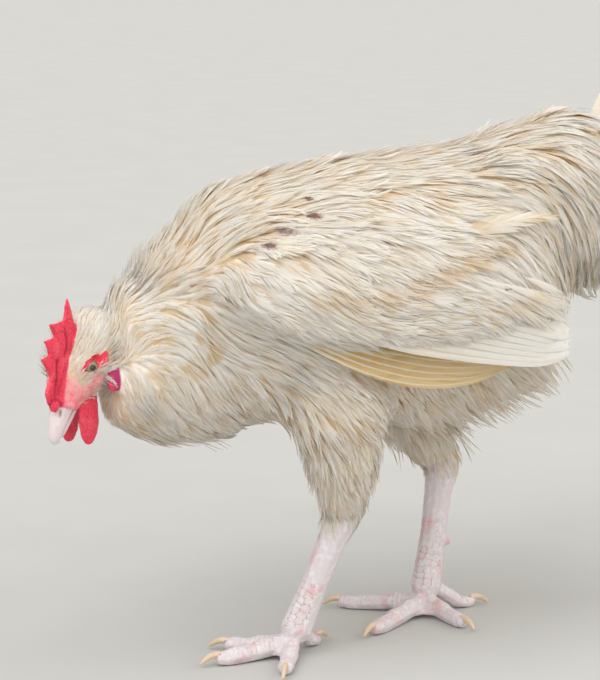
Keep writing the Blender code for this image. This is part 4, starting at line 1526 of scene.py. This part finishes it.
# x, y, z, reach, spacing, length, half width, stand-off, kind, how much yellower. The coat is named after each key
ZONES = {
    "scapular": (
        (84, -118, 292, 30, 12, 50, 4.6, 3.0, COVERT, 0.1),
        (84, -72, 294, 30, 12, 56, 4.8, 3.2, COVERT, 0.15),
        (80, -24, 292, 28, 12, 58, 4.8, 3.4, COVERT, 0.15),
        (62, 22, 304, 26, 13, 60, 4.6, 3.4, COVERT, 0.15),
    ),
    "edge": (
        (94, -138, 277, 11, 5, 40, 3.0, 3.0, LOCK, 0.0),
        *((*place, 11, 5, 42, 3.0, 3.0, LOCK, 0.0) for place in EDGE_LINE),
        (92, -122, 236, 20, 7, 42, 3.8, 2.5, COVERT, 0.05),
    ),
    "fluff": (
        (96, -42, 252, 16, 7, 46, 3.8, 2.5, FLUFF, -0.5),
        (92, -14, 256, 16, 7, 48, 3.8, 2.5, FLUFF, -0.5),
        (86, 12, 260, 16, 7, 46, 3.8, 2.5, FLUFF, -0.5),
        (76, 38, 266, 16, 7, 40, 3.6, 3.0, FLUFF, -0.4),
    ),
    "strand": (
        (84, -100, 290, 40, 9, 58, 2.3, 2.5, LOCK, 0.1),
        (82, -30, 292, 40, 9, 60, 2.3, 2.5, LOCK, 0.1),
        (50, 88, 312, 42, 7.5, 78, 2.5, 4.5, LOCK, 0.25),
        (34, 120, 330, 34, 9, 78, 2.6, 4.0, LOCK, 0.2),
        (20, -20, 345, 60, 17, 64, 2.8, 1.5, LOCK, 0.2),
        (70, -150, 240, 42, 13, 58, 2.8, 3.0, LOCK, 0.0),
        (24, -179, 158, 9, 8, 30, 1.6, 7.0, LOCK, 0.0),
        (6, -226, 258, 16, 3.6, 28, 1.9, 5.0, HACKLE, -0.4),
        (18, -214, 262, 14, 4, 30, 2.0, 4.0, HACKLE, -0.4),
        (74, -95, 180, 34, 11, 44, 2.6, 2.5, LOCK, 0.1),
    ),
    "fringe": (
        (44, 10, 176, 36, 7, 50, 2.1, 9.0, LOCK, 0.5),
        (46, 48, 200, 32, 7, 52, 2.1, 10.0, LOCK, 0.5),
        (16, 30, 172, 26, 8, 36, 2.1, 4.0, LOCK, 0.45),
    ),
}


def zone_feathers(name, zones):
    points = points_of(skin_mesh)
    left_like = folded(points)
    coat = {"left": Coat(), "right": Coat()}
    for x, y, z, reach, spacing, length, half, stand, kind, yellow in zones:
        middle = left_like[np.linalg.norm(left_like - (x, y, z), axis=1).argmin()]
        inside = np.linalg.norm(left_like - middle, axis=1) < reach
        tries = rng.permutation(np.flatnonzero(inside & (feathered_share(points) > 0.7)))
        kept = tries[scattered(points[tries], spacing * MM)]
        count = len(kept)
        roots = points[kept]
        reaches = length * MM * rng.uniform(0.8, 1.15, count)
        stands = stand * rng.uniform(0.5, 1.5, count)
        loose = np.full(count, min(0.12 * stand, 0.9))
        turn = rng.normal(0, 0.08, count)
        paths, normals, places = led(roots, reaches, np.full(count, 1.1), stands, turn, loose)
        width = half * rng.uniform(0.85, 1.2, count)
        light = yellow + rng.normal(0, 0.3, count)
        which = rng.integers(0, len(PLANS[kind]), count)
        for side, sign in SIDES.items():
            here = on_side(roots, sign)
            coat[side].add_mixed(PLANS[kind], which, here, paths, normals, width, places, 0.3, light)
    for side in SIDES:
        made = seated(coat[side].made("coat_" + name + "_" + side, plumage), "plumage")
        coats[made.name] = made


for name, zones in ZONES.items():
    zone_feathers(name, zones)
for name, piece in coats.items():
    print(name, len(piece.data.polygons), "triangles")
print("coat in all:", sum(len(piece.data.polygons) for piece in coats.values()))

# %% [markdown]
# The bare face is not quite bare: fine white bristles stand on it, thin enough for the pink to show between
# them. Along the lower edge of the cheek they are longer and hang over the wattle like a fringe.

# %% Bristles of the face
FACE_REACH = 44
FRONT_SPACING, EDGE_CLOSER = 1.5, 0.3
BRISTLE_LIGHT = -0.5


def face_bristles():
    points = points_of(skin_mesh)
    points = points[np.linalg.norm(in_head(points), axis=1) < FACE_REACH]
    shares = head_shares(points)
    taken = np.maximum.reduce([shares[key] for key in ("comb", "wattle", "lobe", "ring")])
    ahead, left, above = in_head(points).T
    wanted = shares["face"] * (1 - taken) * (eye_ring(points) > 1.75) * ease(-ahead, -27, -20)
    tries = np.flatnonzero(wanted > rng.uniform(0.2, 0.9, len(points)))
    tries = tries[rng.permutation(len(tries))]
    edge = ease(-above, 9, 13) * ease(ahead, -4, 4)
    spacing = (FRONT_SPACING - EDGE_CLOSER * edge) * MM
    kept = tries[scattered(points[tries], spacing[tries])]
    side = np.sign(left[kept])
    low = ease(-above[kept], -2, 6)
    still = np.zeros(len(kept))
    down = np.stack((still - 0.30, 0.35 * side, still - 0.9), 1)
    back = np.stack((still - 0.85, 0.35 * side, still + 0.2), 1)
    aims = unit((back * (1 - low)[:, None] + down * low[:, None]) @ HEAD_AXES)
    edge = edge[kept]
    count = len(kept)
    length = (3.4 + 4.6 * edge) * MM * rng.uniform(0.75, 1.25, count)
    width = (0.26 + 0.26 * edge) * rng.uniform(0.8, 1.2, count)
    stand = 0.5 + 1.2 * edge * rng.uniform(0.4, 1.6, count)
    loose = 0.15 + 0.6 * edge
    turn = rng.normal(0, 0.2, count)
    paths, normals, places = led(points[kept], length, np.zeros(count), stand, turn, loose, aims)
    coat = Coat()
    which = np.arange(count) % len(PLANS[BRISTLE])
    light = np.full(count, BRISTLE_LIGHT)
    coat.add_mixed(PLANS[BRISTLE], which, which >= 0, paths, normals, width, places, 0.1, light)
    return seated(coat.made("coat_face", plumage), "plumage")


print("face bristles:", len(face_bristles().data.polygons), "triangles")

# %% [markdown]
# The quills of the wing and tail are stiffer than the rest. Each has a thick shaft and two closed vanes, and
# its barbs show as fine slanting lines with a few splits where they have come apart. They follow the blades of
# the solids: the same roots, the same tips and the same sag between them.

# %% Draw the quill plan
BARB_RUN = 0.13
GROUP_GAP = 0.14
SHAFT_STEPS = 12


def quill_plan(locks, widest, bluntness, seed, lopsided=0.0, ragged=0.03, shaft=0.10):
    """A long feather: a ridged shaft and closed vanes of many narrow locks that end on the outline.

    The locks come in groups of 2 to 5 with one tone each and a gap before it. Lopsided makes one vane broader,
    and ragged says how far back some groups end.
    """
    draw = np.random.default_rng(seed)
    plan = Plan()
    for side in (-1, 1):
        spread = 1 - lopsided * side
        gap, tone, back, left = 0.0, 0.4, 0.0, 0
        for i in range(locks):
            start = 0.02 + 0.93 * i / locks
            run = BARB_RUN * (1 - 0.35 * start)
            if left == 0:
                left = int(draw.integers(2, 6))
                tone = draw.uniform(-0.1, 1.0)
                back = ragged * draw.uniform(0, 1)
                gap = GROUP_GAP
            left -= 1
            gap = gap * 0.5
            end = min(start + run, 1.0 - back - 0.3 * ragged * draw.uniform(0, 1))
            wide = spread * outline(end * 0.97, widest, bluntness) * draw.uniform(0.93, 1.03)
            half = 0.62 * 0.93 / locks
            lift = draw.uniform(-0.05, 0.05)
            stations = [
                (start, 0.0, half, 0, 0.0, 0.2),
                (start + run * 0.45, side * wide * 0.55, half * 0.98, 0, 0.1 + lift, 0.6),
                (end, side * wide * (1 - gap), half * 0.85, 0, lift, 1.0),
                (end + run * 0.22, side * wide * (0.99 - gap), 0, 0, lift, 1.0),
            ]
            plan.strip(stations, tone)
    for side in (-1, 1):
        stations = []
        for i in range(SHAFT_STEPS + 1):
            t = i / SHAFT_STEPS
            thick = shaft * (1 - 0.85 * t) + SHAFT_TIP
            stations.append((t * 0.99, side * thick / 2, 0, thick / 2, 0.5 * (1 - 0.8 * t), 1))
        first = len(plan.rows)
        plan.strip(stations, SHAFT_TONE)
        for row in range(first, len(plan.rows)):
            along, across, lift, tone, shade = plan.rows[row]
            plan.rows[row] = (along, across, lift if abs(across) < 0.004 else -0.05, tone, shade)
    return plan.arrays()


QUILLS = [quill_plan(46, 0.72, 2.8, 60 + seed, 0.55, 0.12, 0.14) for seed in range(5)]
LOOSE_FEATHER = drawn(22, 0.5, 1.5, 0.34, 90, 2)
STIFF_QUILLS = [quill_plan(46, 0.62, 2.0, 80 + seed, 0.45, 0.06, 0.26) for seed in range(3)]
SLIM_QUILLS = [quill_plan(40, 0.5, 1.5, 70 + seed, 0.0) for seed in range(3)]
print("quill plan:", len(QUILLS[0][1]), "triangles")

# %% [markdown]
# The folded wing shows its secondaries as one bright white blade behind the coverts. Under it lie the
# primaries, yellower, with their pale shafts curving from the wrist to the tip. A row of soft white coverts
# lies along the top of the blade and hides where it is rooted.

# %% Set in the wing quills
# The white, cream, straw and ridge of the bright quills, and of the ones below them
QUILL_COLOURS = ((0.96, 0.96, 0.95), (0.95, 0.93, 0.88), (0.91, 0.85, 0.73), (0.96, 0.96, 0.95))
UNDER_COLOURS = ((0.93, 0.79, 0.50), (0.86, 0.67, 0.36), (0.68, 0.46, 0.20), (0.95, 0.89, 0.72))
quill_finish = plumage_finish("quill", *QUILL_COLOURS)
under_finish = plumage_finish("under_quill", *UNDER_COLOURS)
# How far the roots and tips below are moved along y, to where the solids stand
STANCE = -35.7


def arc(start, end, sag, count=7):
    """A path from start to end whose middle is moved by sag, all in millimetres."""
    t = np.linspace(0, 1, count)[:, None]
    return (np.array(start) * (1 - t) + np.array(end) * t + np.array(sag) * 4 * t * (1 - t)) * MM


def lay_quills(name, rows, plans, material, slot, mirrored=False, yellower=0.0):
    """Rows are (path, outward direction, half width in millimetres). Yellower moves the tone of all of them."""
    coat = Coat()
    for i, (path, out, half) in enumerate(rows):
        way = unit(np.gradient(path, axis=0))
        out = np.broadcast_to(np.array(out, float), path.shape)
        normal = unit(out - way * dots(out, way))
        _, _, place = onto_skin(path[:1])
        light = np.array([yellower + 0.25 * math.sin(2.1 * i)])
        coat.add(plans[i % len(plans)], path[None], normal[None], np.array([half]), place, 0.12, light, mirrored)
    return seated(coat.made(name, material), slot)


WING_OUT = 84
SECONDARIES, PRIMARIES, COVERTS = 7, 6, 54
BLADE_WEIGHTS = spline_weights(np.linspace(0, 1, 7), 4)


def wing_quills(side, sign):
    """The secondaries, the primaries and the coverts of one wing. In each row a runs from 0 at its lowest quill
    to 1, and the numbers beside it say how far a place moves on the way."""
    upper, lower = [], []
    for i in range(SECONDARIES):
        a = i / (SECONDARIES - 1)
        root = np.array((sign * (WING_OUT + 9 - 5 * a), -74 + 74 * a + STANCE, 241 + 36 * a))
        stagger = 6 * math.sin(2.4 * i)
        tip = np.array((sign * (WING_OUT - 9 - 2 * a), 117 - 2 * a + stagger + STANCE, 206 + 12 * a))
        low = np.array((sign * (WING_OUT + 8 - 4 * a), -12 + 40 * a + STANCE, 221 + 26 * a))
        rear = np.array((sign * (WING_OUT - 2 - 2 * a), 82 + 12 * a + STANCE, 204 + 19 * a))
        path = BLADE_WEIGHTS @ np.stack((root, low, rear, tip)) * MM
        upper.append((path, (sign, 0, 0.22), 8.0 - 1.5 * a))
    for i in range(PRIMARIES):
        a = i / (PRIMARIES - 1)
        root = (sign * (WING_OUT - 4 - 5 * a), -84 + 10 * a + STANCE, 229 + 10 * a)
        tip = (sign * (WING_OUT - 20), 80 + 18 * a + STANCE, 199 + 7 * a)
        lower.append((arc(root, tip, (sign * 9, 0, -19 + 11 * a)), (sign, 0, 0.0), 4.4))
    top = lay_quills("secondaries_" + side, upper[::-1], QUILLS, quill_finish, "flight_feather", sign < 0)
    under = lay_quills("primaries_" + side, lower[::-1], STIFF_QUILLS, under_finish, "flight_feather", sign < 0)
    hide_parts("flight_feathers_" + side)
    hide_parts("flight_feathers_" + side)
    return top, under, wing_coverts(side, sign)


def wing_coverts(side, sign):
    """The soft white feathers that hide the roots of the blade. Here a runs from the front to the rear."""
    rows = []
    for i in range(COVERTS):
        a = (i + 0.5) / COVERTS
        sway_out, sway_up, more = rng.uniform(-1, 1, 3)
        root = np.array((sign * (WING_OUT + 10 - 9 * a + sway_out), -72 + 112 * a, 258 - 2 * a + 9 * sway_up))
        tip = root + (-sign * (4 + 5 * a), 56 - 12 * a + 6 * more, -24 + 5 * more)
        path = arc(root, tip, (sign * 3, 0, 1))
        rows.append((path, (sign, 0, 0.3), rng.uniform(3.2, 4.6)))
    return lay_quills("coat_covert_" + side, rows, PLANS[FLUFF] + PLANS[COVERT], plumage, "plumage", sign < 0)


for side, sign in SIDES.items():
    for piece in wing_quills(side, sign):
        print(piece.name, len(piece.data.polygons), "triangles")

# %% [markdown]
# The tail is a young cock's: two tented halves of straight quills, and over each a longer sickle that curves
# back and down. One long feather of the saddle has come loose from its stream and lies over the coat.

# %% Set in the tail
TAIL_QUILLS = 6
# Places of the left side along the sickle, and along the one long feather that lies loose over the saddle
SICKLE = ((16, 186, 352), (19, 218, 396), (22, 256, 426), (27, 294, 424), (31, 322, 392))
SADDLE_FEATHER = ((75, -30, 287), (71, 0, 291), (69, 26, 297), (65, 54, 301), (60, 84, 299))


def tail_quills(side, sign):
    """Half of the tail, its sickle and the loose feather of the saddle. In the tail a runs from the lowest quill
    to the highest, which is also the steepest and the nearest to the middle."""
    rows = []
    for i in range(TAIL_QUILLS):
        a = (i + 0.5) / TAIL_QUILLS
        root = np.array((sign * (17 - 14 * a), 168 - 6 * a + STANCE, 300 + 38 * a))
        lift = math.radians(14 + 40 * a)
        splay = math.radians(15.5 - 15 * a)
        way = np.array((sign * math.sin(splay) * math.cos(lift), math.cos(splay) * math.cos(lift), math.sin(lift)))
        rows.append((arc(root, root + way * (132 + 16 * a), (0, 0, 5)), (sign, -0.25, 0.35 + 0.2 * a), 11.5))
    tail = lay_quills("tail_" + side, rows[::-1], QUILLS, quill_finish, "flight_feather")
    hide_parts("tail_feathers_" + side)
    path = np.array([(sign * x, y + STANCE, z) for x, y, z in SICKLE]) * MM
    row = (path, (sign, -0.2, 0.3), 9.5)
    sickle = lay_quills("sickle_feather_" + side, [row], SLIM_QUILLS, quill_finish, "flight_feather")
    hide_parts("sickle_" + side)
    path = np.array([(sign * x, y, z) for x, y, z in SADDLE_FEATHER]) * MM
    row = (path, (sign * 0.85, -0.05, 0.5), 9.0)
    name = "coat_saddle_feather_" + side
    loose = lay_quills(name, [row], [LOOSE_FEATHER], plumage, "plumage", sign < 0, yellower=0.7)
    return tail, sickle, loose


for side, sign in SIDES.items():
    for piece in tail_quills(side, sign):
        print(piece.name, len(piece.data.polygons), "triangles")

# %% [markdown]
# The skin gets its finish only now, because it needs a few numbers at each point: how far it is comb, wattle,
# lobe, face or leg, and how deep in a groove it lies. The points under the feathers are far too many, so that
# part is thinned first. Blood shows through comb and wattle, so light is let a little way into the skin.

# %% Thin the skin under the feathers
KEPT_BELOW_COAT = 0.07


def thinned(mesh, kept_share):
    """The mesh with fewer faces where it is feathered. Kept_share is what the feathered part keeps of all faces."""
    feathered = ease(feathered_share(points_of(mesh)), 0.5, 1.0)
    bare = 1 - feathered.mean()
    return with_modifier(mesh, "DECIMATE", group=feathered, ratio=float(bare + kept_share))


skin_mesh = thinned(skin_mesh, KEPT_BELOW_COAT)
print("skin:", len(skin_mesh.polygons), "faces after thinning")

# %% Finish of the skin
RED = (0.90, 0.055, 0.115)
DEEP_RED = (0.58, 0.008, 0.045)
LIGHT_RED = (0.93, 0.16, 0.20)
FACE_PINK = (0.90, 0.36, 0.38)
FOLD_SHADE_RED = (0.36, 0.003, 0.025)
LOBE_PURPLE = (0.45, 0.02, 0.15)
# Under the feathers the skin is painted tan as shade, so that the gaps of the coat look warm and dark.
UNDER_SHADE_TAN = (0.72, 0.58, 0.40)
LEG_PINK = (0.69, 0.63, 0.66)
LEG_FLUSH = (0.70, 0.44, 0.46)
LEG_PALE = (0.75, 0.74, 0.77)
GROOVE_BROWN = (0.40, 0.24, 0.13)
SKIN_SURFACE = {
    "Roughness": 0.48,
    "Specular IOR Level": 0.45,
    "Subsurface Weight": 0.25,
    "Subsurface Radius": (1.0, 0.35, 0.25),
    "Subsurface Scale": 2.2 * MM,
}


def pebbles(tree, scale):
    """How far each point is from the middle of its own small cell."""
    place = tree.nodes.new("ShaderNodeTexCoord")
    node = tree.nodes.new("ShaderNodeTexVoronoi")
    node.inputs["Scale"].default_value = scale
    tree.links.new(place.outputs["Object"], node.inputs["Vector"])
    return node.outputs["Distance"]


def bumped(tree, surface, height, strength, depth):
    """Lets the height tip the normals of the surface. Depth is in millimetres."""
    bump = tree.nodes.new("ShaderNodeBump")
    set_inputs(bump, {"Strength": strength, "Distance": depth * MM})
    tree.links.new(height, bump.inputs["Height"])
    tree.links.new(bump.outputs["Normal"], surface.inputs["Normal"])


def skin_finish():
    material, tree, surface = new_material("skin", SKIN_SURFACE)
    mottle = noise(tree, 260, 4)
    wide = noise(tree, 70, 2)
    # Under the coat: painted tan shade that shows in the gaps between the feathers.
    under = blend(tree, CREAM, UNDER_SHADE_TAN, ranged(tree, wide, 0.30, 0.6))
    leg = blend(tree, LEG_PINK, LEG_FLUSH, ranged(tree, wide, 0.50, 0.78))
    leg = blend(tree, leg, LEG_PALE, ranged(tree, mottle, 0.5, 0.7))
    soiled = ranged(tree, noise(tree, 95, 2), 0.38, 0.62, 0.25, 0.85)
    # This value is soil in the grooves of the legs, and painted shade in the folds of the head.
    dirt_and_fold_shade = named_value(tree, "dirt_and_fold_shade")
    leg = blend(tree, leg, blend(tree, leg, GROOVE_BROWN, soiled), ranged(tree, dirt_and_fold_shade, 0.3, 1.0))
    red = blend(tree, RED, DEEP_RED, ranged(tree, mottle, 0.5, 0.8, 0, 0.45))
    red = blend(tree, red, LIGHT_RED, ranged(tree, noise(tree, 120, 3), 0.5, 0.75, 0, 0.7))
    grain = pebbles(tree, 760)
    red = blend(tree, red, DEEP_RED, ranged(tree, grain, 0.35, 0.8, 0, 0.6))
    # Painted shade in the folds of the head and round the bead: dark red here, and redder on the face below.
    red = blend(tree, red, FOLD_SHADE_RED, dirt_and_fold_shade)
    face = blend(tree, FACE_PINK, RED, ranged(tree, mottle, 0.42, 0.75, 0, 0.75))
    face = blend(tree, face, RED, dirt_and_fold_shade)
    lobe = blend(tree, LOBE_PURPLE, RED, ranged(tree, wide, 0.4, 0.7))
    colour = blend(tree, under, leg, named_value(tree, "leg"))
    for part, finish in (("face", face), ("ring", red), ("lobe", lobe), ("wattle", red), ("comb", red)):
        colour = blend(tree, colour, finish, named_value(tree, part))
    tree.links.new(specked(tree, colour), surface.inputs["Base Color"])
    tree.links.new(ranged(tree, named_value(tree, "bare"), 0.0, 0.6, 0.95, 0.46), surface.inputs["Roughness"])
    height = tree.nodes.new("ShaderNodeMix")
    tree.links.new(named_value(tree, "fleshy"), height.inputs[0])
    tree.links.new(noise(tree, 900, 3), height.inputs[2])
    tree.links.new(ranged(tree, grain, 0.1, 0.8, 1.6, 0.0), height.inputs[3])
    bumped(tree, surface, height.outputs[0], 0.5, 0.25)
    return material


def finish_skin(mesh):
    """Gives the skin its values: its parts, the soil in the grooves of the legs and the painted shade in the folds
    of the head, how bare and how fleshy each point is.
    """
    points, normals = points_of(mesh), normals_of(mesh)
    values = head_shares(points)
    values["leg"] = bare_leg(points)
    dirt_and_fold_shade = np.zeros(len(points))
    on_leg = np.flatnonzero(values["leg"] > 0.02)
    dirt_and_fold_shade[on_leg] = leg_grooves(points[on_leg], normals[on_leg])[0]
    # On the head the same value is painted shade, along the folds and round the rim of the bead.
    on_head = np.flatnonzero(np.maximum(values["comb"], values["face"]) > 0.02)
    dirt_and_fold_shade[on_head] = folds_at(in_head(points[on_head]))[0]
    values["dirt_and_fold_shade"] = dirt_and_fold_shade
    values["bare"] = np.max(list(values.values()), axis=0)
    values["fleshy"] = np.maximum(np.maximum(values["comb"], values["wattle"]), values["ring"])
    set_values(mesh, values)
    mesh.materials.clear()
    mesh.materials.append(skin_finish())
    return seated(linked("skin", mesh), "face_skin", *FLESH)


skin = finish_skin(skin_mesh)
print("skin finished:", len(skin.data.vertices), "points")

# %% [markdown]
# Eyes, bill and claws stay pieces of their own. The eyes are fine balls with a round pupil, an olive iris with
# faint spokes and a clear wet coat. The bill and the claws are the solids with more faces, rounded, so that
# they keep their place and length.

# %% Eyes
GAZE = (0.18, 0.80, 0.52)
PUPIL, IRIS = 1.9, 4.4
IRIS_OLIVE = ((0.20, 0.15, 0.06), (0.36, 0.27, 0.11))
IRIS_INNER, IRIS_RIM = (0.10, 0.07, 0.03), (0.08, 0.05, 0.03)
PUPIL_BLACK, EYE_CORNER = (0.004, 0.004, 0.004), (0.30, 0.16, 0.13)
EYE_SURFACE = {"Roughness": 0.25, "Coat Weight": 1.0, "Coat Roughness": 0.03}


def eye_finish():
    """Rings of colour from the pupil outwards, read from how far each point lies off the axis of the eye."""
    material, tree, surface = new_material("eye", EYE_SURFACE)
    off = named_value(tree, "off_axis")
    iris = blend(tree, *IRIS_OLIVE, ranged(tree, named_value(tree, "spoke"), 0.25, 0.8))
    iris = blend(tree, IRIS_INNER, iris, ranged(tree, off, PUPIL, PUPIL + 0.7))
    iris = blend(tree, iris, IRIS_RIM, ranged(tree, off, IRIS - 0.7, IRIS))
    colour = blend(tree, PUPIL_BLACK, iris, ranged(tree, off, PUPIL - 0.12, PUPIL + 0.12))
    colour = blend(tree, colour, EYE_CORNER, ranged(tree, off, IRIS + 0.1, IRIS + 0.6))
    tree.links.new(colour, surface.inputs["Base Color"])
    return material


def eyeball(side, sign, material):
    ball = bmesh.new()
    bmesh.ops.create_uvsphere(ball, u_segments=64, v_segments=40, radius=1)
    mesh = as_mesh(ball, "eyeball_" + side)
    gaze = np.array(GAZE) * (1, sign, 1)
    gaze = gaze / np.linalg.norm(gaze)
    across = unit(np.cross(gaze, (0, 0, 1.0)))
    turned = points_of(mesh) @ np.array((across, np.cross(gaze, across), gaze))
    out = EYE_RADIUS - 0.15 + 0.35 * ease(turned @ gaze, 0.70, 1.0)
    points = from_head(turned * out[:, None] + (0, sign * EYE_OUT, EYE_ABOVE))
    move_points(mesh, points)
    off = np.linalg.norm(np.cross(turned, gaze), axis=1) * EYE_RADIUS
    off = np.where(turned @ gaze > 0, off, EYE_RADIUS)
    around = np.arctan2(turned @ np.cross(gaze, across), turned @ across)
    spoke = 0.5 + 0.25 * np.sin(around * 23) + 0.25 * np.sin(around * 41 + off * 2)
    set_values(mesh, {"off_axis": off, "spoke": spoke})
    mesh.materials.append(material)
    return seated(linked("eyeball_" + side, mesh), "eye", "eye_" + side)


eye_material = eye_finish()
for side, sign in SIDES.items():
    print(eyeball(side, sign, eye_material).name, "set in")

# %% Bill and claws
NOSTRIL = (34.5, 4.6, 1.4)
DARK_BROWN = (0.30, 0.17, 0.09)
HORN_SURFACE = {
    "Roughness": 0.38,
    "Subsurface Weight": 0.3,
    "Subsurface Radius": (1.0, 0.6, 0.4),
    "Subsurface Scale": 1.2 * MM,
}


def rounded(node, levels, growth):
    """The mesh of a solid with more faces, rounded, and grown again by what the rounding takes off."""
    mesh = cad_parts[node].data.copy()
    work = bmesh.new()
    work.from_mesh(mesh)
    bmesh.ops.remove_doubles(work, verts=work.verts, dist=0.01 * MM)
    work.normal_update()
    for corner in work.verts:
        corner.co += corner.normal * growth * MM
    work.to_mesh(mesh)
    work.free()
    mesh.materials.clear()
    mesh.polygons.foreach_set("use_smooth", np.ones(len(mesh.polygons), bool))
    return with_modifier(mesh, "SUBSURF", levels=levels, render_levels=levels)


def horn_finish(name, horn, root, low, high):
    """Horn is clear at the tip and pinker at the root. Low and high are the ends of the value named reach."""
    material, tree, surface = new_material(name, HORN_SURFACE)
    colour = blend(tree, root, horn, ranged(tree, named_value(tree, "reach"), low, high))
    stain = blend(tree, colour, tuple(0.88 * v for v in horn), ranged(tree, noise(tree, 420, 3), 0.5, 0.75))
    # Dark brown: dirt low on the claws, painted shade in the nostril slit, a darker line along the gape.
    colour = blend(tree, stain, DARK_BROWN, named_value(tree, "dark"))
    tree.links.new(colour, surface.inputs["Base Color"])
    bumped(tree, surface, noise(tree, 700, 3), 0.35, 0.2)
    return material


def horn_piece(name, node, mesh, material, slot, values):
    set_values(mesh, values)
    mesh.materials.append(material)
    return seated(linked(name, mesh), slot, node)


def bill(half, material):
    mesh = rounded("bill_" + half, 3, 0.35)
    points = points_of(mesh)
    ahead, left, above = in_head(points).T
    away = np.hypot((ahead - NOSTRIL[0]) / 2.6, (above - NOSTRIL[2] + 0.35 * (ahead - NOSTRIL[0])) / 0.7)
    slit = ease(-away, -1.2, -0.6) * (np.abs(left) > 1.5) * (half == "upper")
    points -= normals_of(mesh) * (slit * MM)[:, None]
    move_points(mesh, points)
    lip = 0.35 * ease(above, -9.4, -8.2) * (half == "lower")
    # The dark of the nostril slit is painted shade; along the gape the lower bill is darker.
    values = {"reach": ahead, "dark": 0.7 * np.maximum(slit, lip)}
    return horn_piece("horn_" + half, "bill_" + half, mesh, material, "bill", values)


def claw(toe, side, material):
    node = "claw_" + toe + "_" + side
    mesh = rounded(node, 2, 0.25)
    points = points_of(mesh)
    foot = np.array(LEGS[side]["foot"], float) * (1, 1, 0)
    reach = (points / MM - foot) @ heading(LEGS[side]["toes"][toe][1])
    share = (reach - reach.min()) / np.ptp(reach)
    dark = 0.5 * ease(-points[:, 2] / MM, -2.0, -0.3)
    return horn_piece("nail_" + toe + "_" + side, node, mesh, material, "claw", {"reach": share, "dark": dark})


bill_finish = horn_finish("bill", (0.74, 0.65, 0.67), (0.70, 0.50, 0.55), 27.0, 38.0)
claw_finish = horn_finish("claw", (0.66, 0.52, 0.36), (0.74, 0.56, 0.48), 0.0, 0.7)
for half in ("upper", "lower"):
    print(bill(half, bill_finish).name, "set in")
for side in SIDES:
    for toe in TOES:
        claw(toe, side, claw_finish)
print("claws set in:", len(SIDES) * len(TOES))
